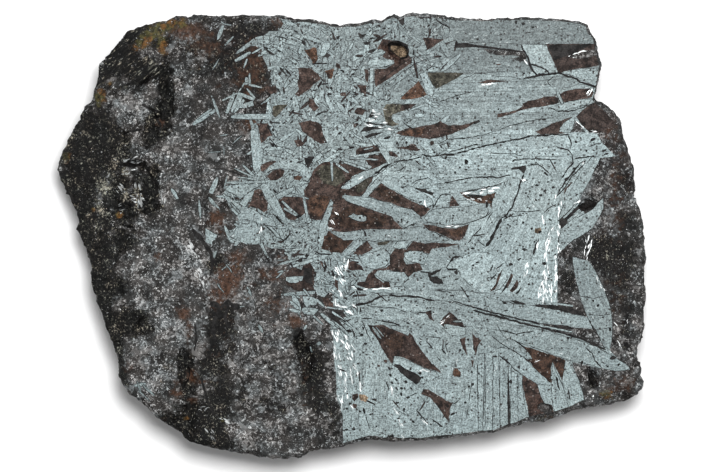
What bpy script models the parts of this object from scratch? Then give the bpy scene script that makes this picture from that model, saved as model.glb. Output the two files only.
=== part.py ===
"""Polished slab of hematite and magnetite rock, one solid piece.

Metres, +Z up. The slab lies on its sawn back with the polished face up. The origin is the middle of the
box's underside, and +Y is the slab's upper edge as it is usually shown. The solid is a loft of closed
rings: the polished rim, the rough rind that falls away from it, the broken sides and the sawn back.
"""

import math

import bmesh
import bpy
from mathutils import Vector, noise

MM = 0.001

THICKNESS = 16 * MM

# The outline seen from above, clockwise from the left, in millimetres. The third number is the width of
# the unpolished rind there, measured towards the slab's middle.
OUTLINE = [
    (-73.6, 16.5, 15), (-72.8, 20.0, 15), (-71.2, 23.2, 15), (-70.9, 25.2, 14), (-68.9, 28.2, 13),
    (-67.3, 31.0, 11), (-67.2, 32.1, 11), (-65.2, 33.2, 9), (-64.3, 35.5, 8), (-64.0, 38.6, 9),
    (-63.0, 40.2, 9), (-63.4, 42.2, 10), (-62.7, 44.3, 11), (-60.2, 46.2, 11), (-58.8, 47.4, 11),
    (-58.1, 48.9, 11), (-56.5, 51.0, 11), (-54.0, 52.1, 9), (-51.0, 53.0, 8), (-47.0, 53.8, 7),
    (-45.5, 54.0, 6), (-43.5, 55.3, 5), (-41.6, 55.1, 4), (-38.5, 55.5, 3), (-34.5, 54.9, 2.0),
    (-33.0, 55.4, 1.6), (-29.9, 54.6, 1.2), (-28.5, 55.1, 1.0), (-22.0, 55.2, 0.9), (-17.0, 55.1, 0.9),
    (-15.0, 54.2, 0.7), (-10.0, 54.1, 0.7), (-5.5, 53.3, 0.7), (-3.5, 52.7, 0.7), (0.5, 53.1, 0.7),
    (6.0, 54.1, 0.7), (7.5, 54.0, 0.7), (9.8, 55.3, 0.8), (11.2, 55.4, 0.8), (11.7, 54.6, 0.7),
    (14.5, 55.7, 0.8), (19.5, 55.3, 0.8), (22.0, 55.5, 0.9), (24.0, 54.8, 0.7), (30.0, 54.2, 0.6),
    (36.0, 54.5, 0.6), (45.0, 54.5, 0.6), (53.5, 54.2, 0.6), (58.9, 53.2, 0.6), (59.3, 51.5, 0.6),
    (61.0, 49.5, 0.6), (61.0, 47.5, 0.6), (62.4, 43.2, 0.6), (61.4, 37.3, 0.5), (60.7, 34.6, 0.9),
    (66.8, 30.1, 1.9), (67.1, 28.2, 1.0), (68.6, 23.6, 0.8), (69.8, 20.2, 0.8), (70.5, 16.0, 0.8),
    (70.8, 10.0, 0.8), (72.3, 6.3, 0.8), (73.2, 2.0, 0.9), (73.4, -4.8, 1.0), (73.1, -9.0, 1.0),
    (73.3, -12.5, 1.0), (74.1, -15.5, 1.3), (73.0, -18.2, 1.1), (73.1, -24.5, 1.2), (71.3, -28.3, 1.3),
    (72.4, -33.5, 2.0), (72.0, -34.8, 2.6), (73.1, -36.2, 3.6), (72.2, -39.0, 4.4), (69.0, -40.9, 4.4),
    (63.0, -42.3, 3.6), (58.5, -43.0, 2.6), (55.0, -43.6, 1.2), (50.8, -45.1, 1.6), (48.0, -46.2, 2.4),
    (44.5, -46.7, 1.6), (39.0, -47.9, 0.8), (36.0, -48.9, 0.7), (27.0, -50.0, 0.7), (18.0, -51.0, 0.7),
    (12.0, -51.1, 0.7), (9.5, -51.3, 1.0), (4.5, -50.6, 0.8), (1.5, -51.4, 0.8), (-2.0, -52.6, 0.9),
    (-9.0, -53.3, 1.0), (-12.5, -55.2, 1.7), (-17.0, -55.9, 2.1), (-23.0, -55.1, 1.4), (-29.0, -53.9, 1.2),
    (-37.0, -52.2, 1.6), (-41.0, -51.2, 2.2), (-43.3, -48.6, 1.8), (-49.5, -44.9, 1.6), (-52.0, -42.3, 1.8),
    (-55.0, -40.0, 2.0), (-58.0, -36.2, 2.5), (-58.1, -31.0, 3.0), (-59.9, -26.3, 4.0), (-62.0, -21.2, 5.0),
    (-63.8, -16.0, 5.5), (-65.2, -12.3, 6.0), (-64.9, -8.0, 6.0), (-66.5, -3.3, 8), (-68.9, 2.2, 10),
    (-68.6, 5.8, 11), (-70.0, 8.3, 12), (-71.6, 11.0, 13),
]
POINTS_AROUND = 256
JAG = 0.35 * MM  # how far the broken outline strays from the straight runs between its points
JAG_SIZE = 2.2 * MM

# The rind: how far it drops from the polished plane to the outline, and the lumps on it.
RIND_STEPS = (0.2, 0.4, 0.6, 0.8, 1.0)  # shares of the rind's width
ARRIS_DROP = 0.5 * MM
RIND_SLOPE = 0.38
RIND_ROUND = 1.35  # above 1, the rind starts flat and steepens towards the outline
LUMP_HEIGHT = 1.2 * MM
LUMP_SIZE = 5.5 * MM
FULL_LUMP_WIDTH = 8 * MM  # a narrower rind has lower lumps

# The broken sides, from the outline down to the sawn back.
SIDE_STEPS = (0.10, 0.22, 0.35, 0.48, 0.61, 0.74, 0.85, 0.94)  # shares of the way down
UNDERCUT = (0.5 * MM, 4.0 * MM)  # least and most that the back stands in from the outline
UNDERCUT_BOW = 1.7  # above 1, the side starts steep and turns in lower down
UNDERCUT_SIZE = 26 * MM
FACET_DEPTH = 1.8 * MM  # how far the flat breaks on the sides cut in
FACET_SIZE = 7.5 * MM
FACET_START = 0.2  # share of the way down at which the breaks reach their full depth
BACK_ARRIS = 0.6 * MM

# Hollows in the polished face: centre x and y, half width, half length and turn anticlockwise of its long
# axis from +Y, then depth. Millimetres and degrees, from the middle of the slab.
HOLLOWS = [
    (11.2, 46.4, 1.9, 3.1, 60, 1.6),
    (58.8, 8.3, 1.3, 2.4, -72, 1.3),
    (60.4, -35.6, 1.2, 2.9, 20, 1.2),
    (48.2, -42.9, 1.1, 2.0, 70, 1.0),
    (-12.6, -30.6, 1.7, 5.2, 12, 1.1),
    (-46.8, 34.6, 1.6, 6.4, 2, 1.8),
    (-51.5, 13.6, 2.2, 4.6, -8, 1.4),
    (-53.6, 18.4, 0.8, 3.0, 84, 1.5),
]
HOLLOW_RIPPLE = 0.22  # how far a hollow's edge strays from an even oval, as a share of its size
RIPPLE_RATE = 2.3
CUTTER_RISE = 2 * MM  # how far a hollow's cutter stands above the polished face, to cut it clean

STONE_COLOUR = (0.075, 0.070, 0.070, 1.0)
FACE_COLOUR = (0.27, 0.33, 0.35, 1.0)
BACK_COLOUR = (0.12, 0.12, 0.12, 1.0)


def clear_scene():
    for thing in list(bpy.data.objects):
        bpy.data.objects.remove(thing)


def collection(name):
    made = bpy.data.collections.new(name)
    bpy.context.scene.collection.children.link(made)
    return made


def material(name, colour, roughness, metallic):
    made = bpy.data.materials.new(name)
    made.use_nodes = True
    made.diffuse_color = colour
    shader = made.node_tree.nodes["Principled BSDF"]
    shader.inputs["Base Color"].default_value = colour
    shader.inputs["Roughness"].default_value = roughness
    shader.inputs["Metallic"].default_value = metallic
    return made


def evenly_round(corners, count):
    """Points at equal steps along a closed run of corners, each with as many numbers as a corner has."""
    sides = list(zip(corners, corners[1:] + corners[:1]))
    lengths = [math.dist(a[:2], b[:2]) for a, b in sides]
    step = sum(lengths) / count
    points = []
    start = 0.0
    for (a, b), length in zip(sides, lengths):
        while len(points) * step < start + length and len(points) < count:
            share = (len(points) * step - start) / length
            points.append(tuple(p + (q - p) * share for p, q in zip(a, b)))
        start += length
    return points


def centred(points):
    """The points moved so that their box is centred on the origin."""
    xs = [p[0] for p in points]
    ys = [p[1] for p in points]
    middle_x = (min(xs) + max(xs)) / 2
    middle_y = (min(ys) + max(ys)) / 2
    return [(x - middle_x, y - middle_y, rind) for x, y, rind in points]


def jagged_outline():
    """The slab's outline from above as (point, way to the middle, rind width), in metres."""
    corners = [tuple(value * MM for value in corner) for corner in OUTLINE]
    rough = []
    for x, y, rind in evenly_round(corners, POINTS_AROUND):
        inward = -Vector((x, y, 0)).normalized()
        jag = JAG * noise.noise(Vector((x, y, 0)) / JAG_SIZE)
        rough.append((x + inward.x * jag, y + inward.y * jag, rind))
    return [(Vector((x, y, 0)), -Vector((x, y, 0)).normalized(), rind) for x, y, rind in centred(rough)]


def lump(point, width):
    """Height of the rind's lumps at a point, above or below its even slope."""
    strength = min(1.0, width / FULL_LUMP_WIDTH)
    return LUMP_HEIGHT * strength * noise.fractal(point / LUMP_SIZE, 0.7, 2.0, 3)


def rind_ring(outline, share):
    """The ring at this share of the rind's width, from the polished rim at 0 to the outline at 1."""
    ring = []
    for point, inward, width in outline:
        place = point + inward * width * (1 - share)
        drop = (ARRIS_DROP + RIND_SLOPE * width) * share**RIND_ROUND
        ring.append(Vector((place.x, place.y, THICKNESS - drop + lump(place, width) * share)))
    return ring


def facet_cut(place):
    """How far the flat, tilted breaks of the sides cut in at a place."""
    _, centres = noise.voronoi(place / FACET_SIZE)
    centre = centres[0]
    tilt = noise.noise_vector(centre * 7).dot(place / FACET_SIZE - centre)
    return FACET_DEPTH * min(max(0.5 * noise.cell(centre * 3) + 0.8 * tilt, 0.0), 1.0)


def side_inset(point, share):
    """How far the broken side stands in from the outline at this share of the way down."""
    least, most = UNDERCUT
    slow = 0.5 + 0.5 * noise.noise(point / UNDERCUT_SIZE)
    place = Vector((point.x, point.y, share * THICKNESS))
    breaks = facet_cut(place) * min(1.0, share / FACET_START)
    return (least + (most - least) * slow) * share**UNDERCUT_BOW + breaks


def side_ring(outline, upper, share):
    """The ring at this share of the way from the outline, whose ring is upper, to the sawn back."""
    ring = []
    for (point, inward, _), above in zip(outline, upper):
        place = point + inward * side_inset(point, share)
        ring.append(Vector((place.x, place.y, above.z * (1 - share))))
    return ring


def back_ring(outline):
    """The edge of the sawn back, a little inside the broken side above it."""
    return [point + inward * (side_inset(point, 1.0) + BACK_ARRIS) for point, inward, _ in outline]


def loft(bm, rings):
    """Quads from each ring to the next, and one flat face on each end. The first ring is the upper one."""
    rows = [[bm.verts.new(place) for place in ring] for ring in rings]
    for upper, lower in zip(rows, rows[1:]):
        for i in range(len(upper)):
            j = (i + 1) % len(upper)
            bm.faces.new((upper[i], upper[j], lower[j], lower[i]))
    top = bm.faces.new(reversed(rows[0]))
    back = bm.faces.new(rows[-1])
    return top, back


def slab_block(target):
    """The slab with no hollows: polished face, rind, broken sides and sawn back in one closed mesh."""
    outline = jagged_outline()
    rings = [rind_ring(outline, 0.0)] + [rind_ring(outline, share) for share in RIND_STEPS]
    edge = rings[-1]
    rings += [side_ring(outline, edge, share) for share in SIDE_STEPS] + [back_ring(outline)]
    bm = bmesh.new()
    top, back = loft(bm, rings)
    top.material_index = 1
    back.material_index = 2
    bmesh.ops.recalc_face_normals(bm, faces=bm.faces)
    mesh = bpy.data.meshes.new("slab")
    bm.to_mesh(mesh)
    bm.free()
    mesh.materials.append(material("broken_rock", STONE_COLOUR, 0.8, 0.1))
    mesh.materials.append(material("polished_face", FACE_COLOUR, 0.3, 0.6))
    mesh.materials.append(material("sawn_back", BACK_COLOUR, 0.7, 0.2))
    block = bpy.data.objects.new("slab", mesh)
    target.objects.link(block)
    return block


def hollow_cutter(target, name, hollow):
    """A squashed ball on the polished face: its lower half cuts the hollow, its upper half stands clear."""
    x, y, half_width, half_length, turn, depth = hollow
    bm = bmesh.new()
    bmesh.ops.create_icosphere(bm, subdivisions=3, radius=1.0)
    for vert in bm.verts:
        ripple = 1 + HOLLOW_RIPPLE * noise.noise(vert.co * RIPPLE_RATE + Vector((x, y, 0)))
        reach = Vector((half_width * ripple, half_length * ripple, depth)) * MM
        if vert.co.z > 0:
            reach.z = CUTTER_RISE
        vert.co = vert.co * reach
    mesh = bpy.data.meshes.new(name)
    bm.to_mesh(mesh)
    bm.free()
    cutter = bpy.data.objects.new(name, mesh)
    cutter.location = (x * MM, y * MM, THICKNESS)
    cutter.rotation_euler.z = math.radians(turn)
    cutter.hide_render = True
    cutter.display_type = "WIRE"
    target.objects.link(cutter)
    return cutter


def cut(block, cutter):
    modifier = block.modifiers.new(cutter.name, "BOOLEAN")
    modifier.operation = "DIFFERENCE"
    modifier.solver = "EXACT"
    modifier.object = cutter


def main():
    clear_scene()
    parts = collection("polished_slab")
    cutters = collection("cutters")
    block = slab_block(parts)
    for number, hollow in enumerate(HOLLOWS):
        cut(block, hollow_cutter(cutters, f"hollow_{number}", hollow))


main()
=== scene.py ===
"""Looks of the polished hematite magnetite slab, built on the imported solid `slab`.

The rind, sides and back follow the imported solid, refined and roughened. The polished face is one sheet
parted along the crystals' own outlines, so that each blade, each window of brown matrix and each crack has
its own edges and grain. It is flat but for its hollows and the broken rind at the left. Lengths are
millimetres in outlines, lists and materials and in the values for them, and metres elsewhere.
"""

import math
import random
from collections import namedtuple
from types import SimpleNamespace

import bmesh
import bpy
import numpy as np
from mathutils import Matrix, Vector, noise
from mathutils.geometry import delaunay_2d_cdt


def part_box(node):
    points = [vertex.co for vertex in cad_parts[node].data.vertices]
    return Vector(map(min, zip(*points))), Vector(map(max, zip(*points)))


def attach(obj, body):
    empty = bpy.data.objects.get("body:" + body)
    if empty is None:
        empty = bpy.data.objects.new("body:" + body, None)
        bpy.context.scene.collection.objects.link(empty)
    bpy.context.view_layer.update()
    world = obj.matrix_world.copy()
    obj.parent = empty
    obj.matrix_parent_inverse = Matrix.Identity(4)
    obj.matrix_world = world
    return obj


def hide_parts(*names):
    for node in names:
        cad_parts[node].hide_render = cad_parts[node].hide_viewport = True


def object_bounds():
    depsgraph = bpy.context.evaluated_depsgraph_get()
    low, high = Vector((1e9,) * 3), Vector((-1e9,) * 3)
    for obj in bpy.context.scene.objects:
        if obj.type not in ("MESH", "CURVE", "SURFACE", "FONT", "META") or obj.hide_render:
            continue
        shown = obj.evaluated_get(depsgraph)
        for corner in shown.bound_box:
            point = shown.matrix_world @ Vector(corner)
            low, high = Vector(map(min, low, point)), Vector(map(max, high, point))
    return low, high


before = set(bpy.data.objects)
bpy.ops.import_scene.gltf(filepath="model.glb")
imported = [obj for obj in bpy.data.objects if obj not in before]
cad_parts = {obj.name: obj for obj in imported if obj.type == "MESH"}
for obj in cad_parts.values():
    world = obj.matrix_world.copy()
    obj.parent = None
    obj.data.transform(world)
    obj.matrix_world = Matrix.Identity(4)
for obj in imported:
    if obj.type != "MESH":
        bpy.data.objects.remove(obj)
cad_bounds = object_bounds()

MM = 0.001
CAD_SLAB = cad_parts["slab"]
FACE_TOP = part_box("slab")[1].z
SEED = 11
DICE = random.Random(SEED)
noise.seed_set(SEED)  # without it, noise_vector differs from run to run

# Materials of the slab's mesh, by slot; the glint slot is painted highlight, white where cleavage reflects
# light
ROCK, BLADE, WINDOW, PAINTED_GLINT, RIND, BACK = range(6)

# One area of the polished face. tone is its brightness, with 1 the usual one for its kind. tint is one of
# TINTS in a window, and in a blade how felted it is. turn is the way its grain runs, in degrees from +X.
Area = namedtuple("Area", "kind outline tone tint turn")
TINTS = {"dark": -1.0, "umber": -0.45, "brown": 0.0, "rust": 1.0, "olive": 2.0, "tan": 3.0}

OUTLINE_STEP = 0.7  # between points of an area's outline
OUTLINE_STRAY = 0.16  # how far the points stray, which makes the crystals' edges ragged
STRAY_SIZE = 0.9
WINDOW_TURN = 20.0

HALO = 0.13  # dark line left round a blade
HALO_TONE = 0.55
HALO_LEAST, HALO_SWAY, HALO_SIZE, HALO_SEED = 0.9, 1.6, 1.6, 5  # the line's width swells and shrinks

LATH_TAPER = 2.2  # how late a lath narrows towards its ends
LATH_STRAY = 0.7  # share of OUTLINE_STRAY

# A painted glint's flecks of painted highlight: how many a millimetre, how far across its line, half length,
# tilt, width and tone
FLECK_COUNT = 0.9
FLECK_SPREAD = 0.36
FLECK_REACH = (0.25, 0.9)
FLECK_TILT = 0.16
FLECK_TIP, FLECK_LEAST, FLECK_MOST, FLECK_GAIN = 0.04, 0.12, 0.22, 0.16
FLECK_TONE = (0.6, 1.05)

CRACK_STRAY, CRACK_SEED = 0.22, 3.0
CRACK_TIP = 0.25  # share of its width that a crack has at its ends
CRACK_SWAY, CRACK_SIZE, CRACK_DEPTH = 1.1, 0.8, 9

PIT_POINTS = 9
PIT_SWAY, PIT_RATE, PIT_DEPTH = 0.55, 3, 2


def even_points(points, step, closed):
    """Points no further apart than step along a run of points, with the run's own points kept."""
    ends = points[1:] + (points[:1] if closed else [])
    made = []
    for a, b in zip(points, ends):
        count = max(1, round(math.dist(a, b) / step))
        made += [(a[0] + (b[0] - a[0]) * i / count, a[1] + (b[1] - a[1]) * i / count) for i in range(count)]
    return made if closed else made + [points[-1]]


def strayed(points, amount, seed):
    made = []
    for x, y in points:
        shift = noise.noise_vector(Vector((x, y, seed)) / STRAY_SIZE)
        made.append((x + amount * shift.x, y + amount * shift.y))
    return made


def ragged(points, seed=0.0, amount=OUTLINE_STRAY):
    return strayed(even_points(list(points), OUTLINE_STEP, True), amount, seed)


def wave(x, y, seed, size):
    """A smooth random number for a place, about 0, that changes over this size."""
    return noise.noise(Vector((x, y, seed)) / size)


def beside(place, before, after, reach):
    """place moved by reach to the right of the way from before to after."""
    (ax, ay), (bx, by) = before, after
    length = math.hypot(bx - ax, by - ay) or 1.0
    return place[0] + reach * (by - ay) / length, place[1] - reach * (bx - ax) / length


def placed(x, y, u, v, degrees):
    """The place u, v along axes through x, y that are turned anticlockwise."""
    cos, sin = math.cos(math.radians(degrees)), math.sin(math.radians(degrees))
    return x + u * cos - v * sin, y + u * sin + v * cos


def along_axes(x, y, degrees):
    """x, y measured along axes that are turned anticlockwise."""
    cos, sin = math.cos(math.radians(degrees)), math.sin(math.radians(degrees))
    return x * cos + y * sin, y * cos - x * sin


def signed_area(points):
    """Above zero where the points run anticlockwise."""
    return sum(a[0] * b[1] - b[0] * a[1] for a, b in zip(points[-1:] + points[:-1], points)) / 2


def grown(points, amount, seed):
    """The outline moved out by about this amount, unevenly."""
    side = 1 if signed_area(points) > 0 else -1
    made = []
    for i, place in enumerate(points):
        swell = HALO_LEAST + HALO_SWAY * wave(*place, seed + HALO_SEED, HALO_SIZE)
        made.append(beside(place, points[i - 1], points[(i + 1) % len(points)], side * amount * swell))
    return made


def window(tint, *points, tone=1.0):
    """A patch of brown matrix that shows between the blades."""
    return [Area(WINDOW, ragged(points), tone, TINTS[tint], WINDOW_TURN)]


def haloed(kind, outline, tone, turn, halo=HALO):
    seed = outline[0][0] * 3 + outline[0][1]
    dark = Area(WINDOW, grown(outline, halo, seed), HALO_TONE, TINTS["dark"], turn)
    return [dark, Area(kind, outline, tone, 0.0, turn)]


def rock(*points):
    """A part of the blade field that is granular matrix."""
    return [Area(ROCK, ragged(points), 1.0, 0.0, 0.0)]


def blade(tone, turn, *points):
    """A crystal given by its outline."""
    return haloed(BLADE, ragged(points), tone, turn)


def lath_outline(x0, y0, x1, y1, w0, middle, w1):
    length = math.hypot(x1 - x0, y1 - y0)
    ux, uy = (x1 - x0) / length, (y1 - y0) / length
    count = max(3, round(length / OUTLINE_STEP))
    left, right = [], []
    for i in range(count + 1):
        t = i / count
        end = w0 if t < 0.5 else w1
        half = (end + (middle - end) * (1 - abs(2 * t - 1) ** LATH_TAPER)) / 2
        x, y = x0 + ux * length * t, y0 + uy * length * t
        left.append((x - uy * half, y + ux * half))
        right.append((x + uy * half, y - ux * half))
    return left + right[::-1]


def lath(x0, y0, x1, y1, w0, middle, w1, tone=1.0, kind=BLADE, halo=HALO):
    """A long crystal between two ends, with its width at the first end, the middle and the second end."""
    outline = strayed(lath_outline(x0, y0, x1, y1, w0, middle, w1), OUTLINE_STRAY * LATH_STRAY, x0 + y0)
    turn = math.degrees(math.atan2(y1 - y0, x1 - x0))
    return haloed(kind, outline, tone, turn, halo)


def painted_glint(x0, y0, x1, y1, width, tone=1.0):
    """Painted highlight where a cleavage shines white: small bright flecks strung along a line."""
    length = math.hypot(x1 - x0, y1 - y0)
    ux, uy = (x1 - x0) / length, (y1 - y0) / length
    flecks = []
    for _ in range(max(2, round(length * (FLECK_COUNT + width)))):
        along = DICE.uniform(0, length)
        across = DICE.gauss(0, FLECK_SPREAD * width)
        reach = DICE.uniform(*FLECK_REACH)
        tilt = DICE.gauss(0, FLECK_TILT)
        x, y = x0 + ux * along - uy * across, y0 + uy * along + ux * across
        dx, dy = reach * (ux - tilt * uy), reach * (uy + tilt * ux)
        thick = DICE.uniform(FLECK_LEAST, FLECK_MOST + FLECK_GAIN * width)
        shade = tone * DICE.uniform(*FLECK_TONE)
        _, fleck = lath(x - dx, y - dy, x + dx, y + dy, FLECK_TIP, thick, FLECK_TIP, shade, PAINTED_GLINT, 0.0)
        flecks.append(fleck)
    return flecks


def crack(width, *points, tone=0.5):
    """A thin dark line along points."""
    line = strayed(even_points(list(points), OUTLINE_STEP, False), CRACK_STRAY, CRACK_SEED)
    last = len(line) - 1
    left, right = [], []
    for i, place in enumerate(line):
        before, after = line[max(i - 1, 0)], line[min(i + 1, last)]
        end = CRACK_TIP if i in (0, last) else 1.0
        half = end * width / 2 * (1 + CRACK_SWAY * wave(*place, CRACK_DEPTH, CRACK_SIZE))
        left.append(beside(place, before, after, -half))
        right.append(beside(place, before, after, half))
    return [Area(WINDOW, left + right[::-1], tone, TINTS["dark"], 0.0)]


def pit(x, y, half_x, half_y, turn=0.0, tint="dark", tone=0.6):
    """A small ragged hole or speck."""
    outline = []
    for i in range(PIT_POINTS):
        angle = math.tau * i / PIT_POINTS
        cos, sin = math.cos(angle), math.sin(angle)
        reach = 1 + PIT_SWAY * noise.noise(Vector((x * PIT_RATE + cos, y * PIT_RATE + sin, PIT_DEPTH)))
        outline.append(placed(x, y, half_x * reach * cos, half_y * reach * sin, turn))
    return [Area(WINDOW, outline, tone, TINTS[tint], turn)]


def each(make, *rows):
    """What make gives for each row of values."""
    return [make(*row) for row in rows]


# The polished face, from the middle of the slab as seen from above: FIELD is the outline of the field of
# blades, and the lists after it are what lies in the face, later ones over earlier. Their glints are painted
# highlights.
FIELD = [
    (-17, 60), (-17, 53.5), (-18.2, 51.4), (-20.6, 51.3), (-22, 50.3), (-24.4, 49), (-25.8, 47.9),
    (-22.6, 47.2), (-22.4, 45.2), (-21.2, 42.5), (-20.2, 40.6), (-20.6, 38.4), (-19, 37.6), (-18.4, 36),
    (-20.2, 35), (-20.3, 33), (-20.6, 30.8), (-24, 30.6), (-29.6, 30.8), (-30, 29.6), (-26.4, 29.6),
    (-24.4, 29.4), (-23.8, 28.5), (-25.4, 26.2), (-25, 19), (-24.8, 16.5), (-26, 15), (-30, 13.5),
    (-32, 11), (-30.5, 7), (-28.6, 5), (-28.5, 2.7), (-31.5, 0.7), (-29, -1), (-26.5, -2), (-22.8, -2),
    (-20, -3), (-17, -3), (-16, -4.5), (-14.8, -7.4), (-12.5, -8.4), (-12.3, -7.5), (-10.4, -6.7),
    (-9.7, -8), (-9.6, -12.5), (-8.7, -14.6), (-7, -15.2), (-6, -14.2), (-5, -13.6), (-4.7, -16.5),
    (-3.8, -17.7), (-2.2, -18.3), (-1.4, -20), (-5.4, -22.4), (-4.6, -26), (-4.6, -30), (-4, -34),
    (-3.8, -40), (-2.3, -45), (-2.2, -54), (20, -60), (50.8, -60), (52.4, -45), (58, -42), (57, -38),
    (55, -31.4), (62, -33), (69, -33.4), (64, -28), (61, -25), (58.3, -20), (51.4, -17.5), (51.4, -4),
    (56, 0), (60, 2), (56.6, 8.8), (60, 15), (62, 19.6), (66, 20), (62.5, 23.4), (61.3, 25.6), (63, 27),
    (61, 32), (60.7, 36), (70, 60),
]

UPPER_LEFT = [
    window("brown", (-13.5, 42), (-12, 42.2), (-10.2, 42), (-9.4, 41.2), (-8.3, 40.4), (-7.9, 39.2),
        (-9.6, 38), (-10.3, 37), (-12.2, 35.8), (-13.3, 35), (-14.2, 35.5), (-13.3, 36.8), (-13.7, 38.5),
        (-13.2, 40)),
    window("rust", (-12, 46.5), (-10.8, 46.8), (-9.6, 47.3), (-8.9, 47.2), (-8.5, 44.5), (-9, 43.4),
        (-9.8, 43.2), (-10.2, 44.3), (-11, 45.2)),
    window("rust", (-6.7, 41.3), (-5.5, 41.8), (-4.5, 42), (-4.7, 41), (-5, 39.5), (-5.8, 39.3)),
    window("brown", (-13.5, 28.4), (-12, 28.7), (-10.5, 29), (-8.5, 28.5), (-7.6, 27.8), (-7.2, 24.5),
        (-6.8, 23.2), (-8, 23.2), (-9.3, 24), (-11, 25.2), (-12.5, 26.3), (-12.8, 27.3)),
    window("brown", (-14.5, 24), (-13, 24.2), (-11.8, 23.2), (-12.5, 22.6), (-13.8, 22.4)),
    window("brown", (-10.8, 34.7), (-9.5, 34.2), (-8.9, 33), (-8.3, 32.2), (-9.3, 31.2), (-10.9, 32.5)),
    window("olive", (-19.8, 32.5), (-18, 33), (-16, 33), (-17.3, 31.5), (-18.8, 30), (-19.3, 29.7),
        (-19.9, 30.5), tone=0.7),
    window("brown", (-24, 28.3), (-21, 28.3), (-20.5, 27), (-19.9, 25.3), (-21, 24.9), (-21.8, 23.8),
        (-22.7, 23.3), (-23.5, 27.5)),
    window("brown", (-22, 37.5), (-19, 37.5), (-18.8, 36), (-20.3, 35.5), (-21.5, 36.5)),
    window("dark", (-22.2, 47.5), (-21.2, 47.3), (-19.8, 46), (-18.5, 45.8), (-19.6, 45.3), (-20.6, 45.5)),
    window("dark", (-7.5, 45), (-6.3, 46), (-5.2, 45.3), (-6, 44.6)),
    *each(lath, (-20.9, 28.8, -18.8, 25, 0.6, 0.7, 0.6, 1.05),
        (-21, 46.9, -19.2, 45.6, 0.3, 0.3, 0.2, 1.0), (-18.7, 29.8, -15.7, 33, 0.3, 0.35, 0.3, 1.0)),
    *each(crack, (0.6, (-18.1, 42.3), (-17.2, 41.2), (-16, 40)),
        (0.7, (-16.8, 42), (-16, 41), (-15.2, 40.3)), (0.35, (-10, 43), (-8, 43.3), (-6, 43.1)),
        (0.3, (-19.2, 50), (-17.5, 49.7), (-15.8, 49.1)), (0.4, (-9.2, 30.1), (-7.5, 31), (-5.8, 31.3)),
        (0.5, (-18.6, 37.3), (-17.9, 35.8)), (0.5, (-21.3, 28), (-20, 25.3)),
        (0.35, (-10.2, 36.6), (-8.6, 36.3)), (0.3, (-8, 38), (-5.3, 38.3))),
    *each(pit, (-12.1, 48.4, 0.65, 0.4, -50), (-15.1, 50.2, 0.35, 0.25), (-18.2, 46.4, 0.6, 0.2, -25),
        (-15.2, 34.3, 0.35, 0.3), (-20.4, 38.8, 0.6, 0.3, 80), (-20.3, 28.5, 0.5, 0.3, -60),
        (-19.7, 26.6, 0.5, 0.35, -70), (-15.1, 28.6, 0.6, 0.25, 40), (-17, 28.3, 0.5, 0.2, 30),
        (-14.2, 53.8, 0.9, 0.35, 10), (-12.9, 54, 0.5, 0.3), (-14, 51.2, 0.6, 0.2, -30),
        (-9.2, 48.3, 0.5, 0.3, 20), (-5.6, 35.5, 0.6, 0.3, 10), (-5.2, 37.1, 0.4, 0.3)),
    blade(1.15, 80, (-21, 34), (-20.4, 33.3), (-20.1, 31.5), (-20.6, 30.2), (-21.5, 30.8), (-21.3, 32.5)),
    blade(1.2, 70, (-8, 45), (-7.2, 48.4), (-5.6, 48.5), (-5.4, 47.2), (-6.4, 46.2), (-7, 45.2)),
    blade(1.1, 88, (-25.4, 26.2), (-24.5, 26.7), (-23.6, 27), (-23.3, 25), (-22.8, 23.5), (-22.2, 21),
        (-22.6, 18), (-23.3, 16.3), (-24, 15.5), (-24.7, 17), (-25, 20), (-25.2, 23)),
]

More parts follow.
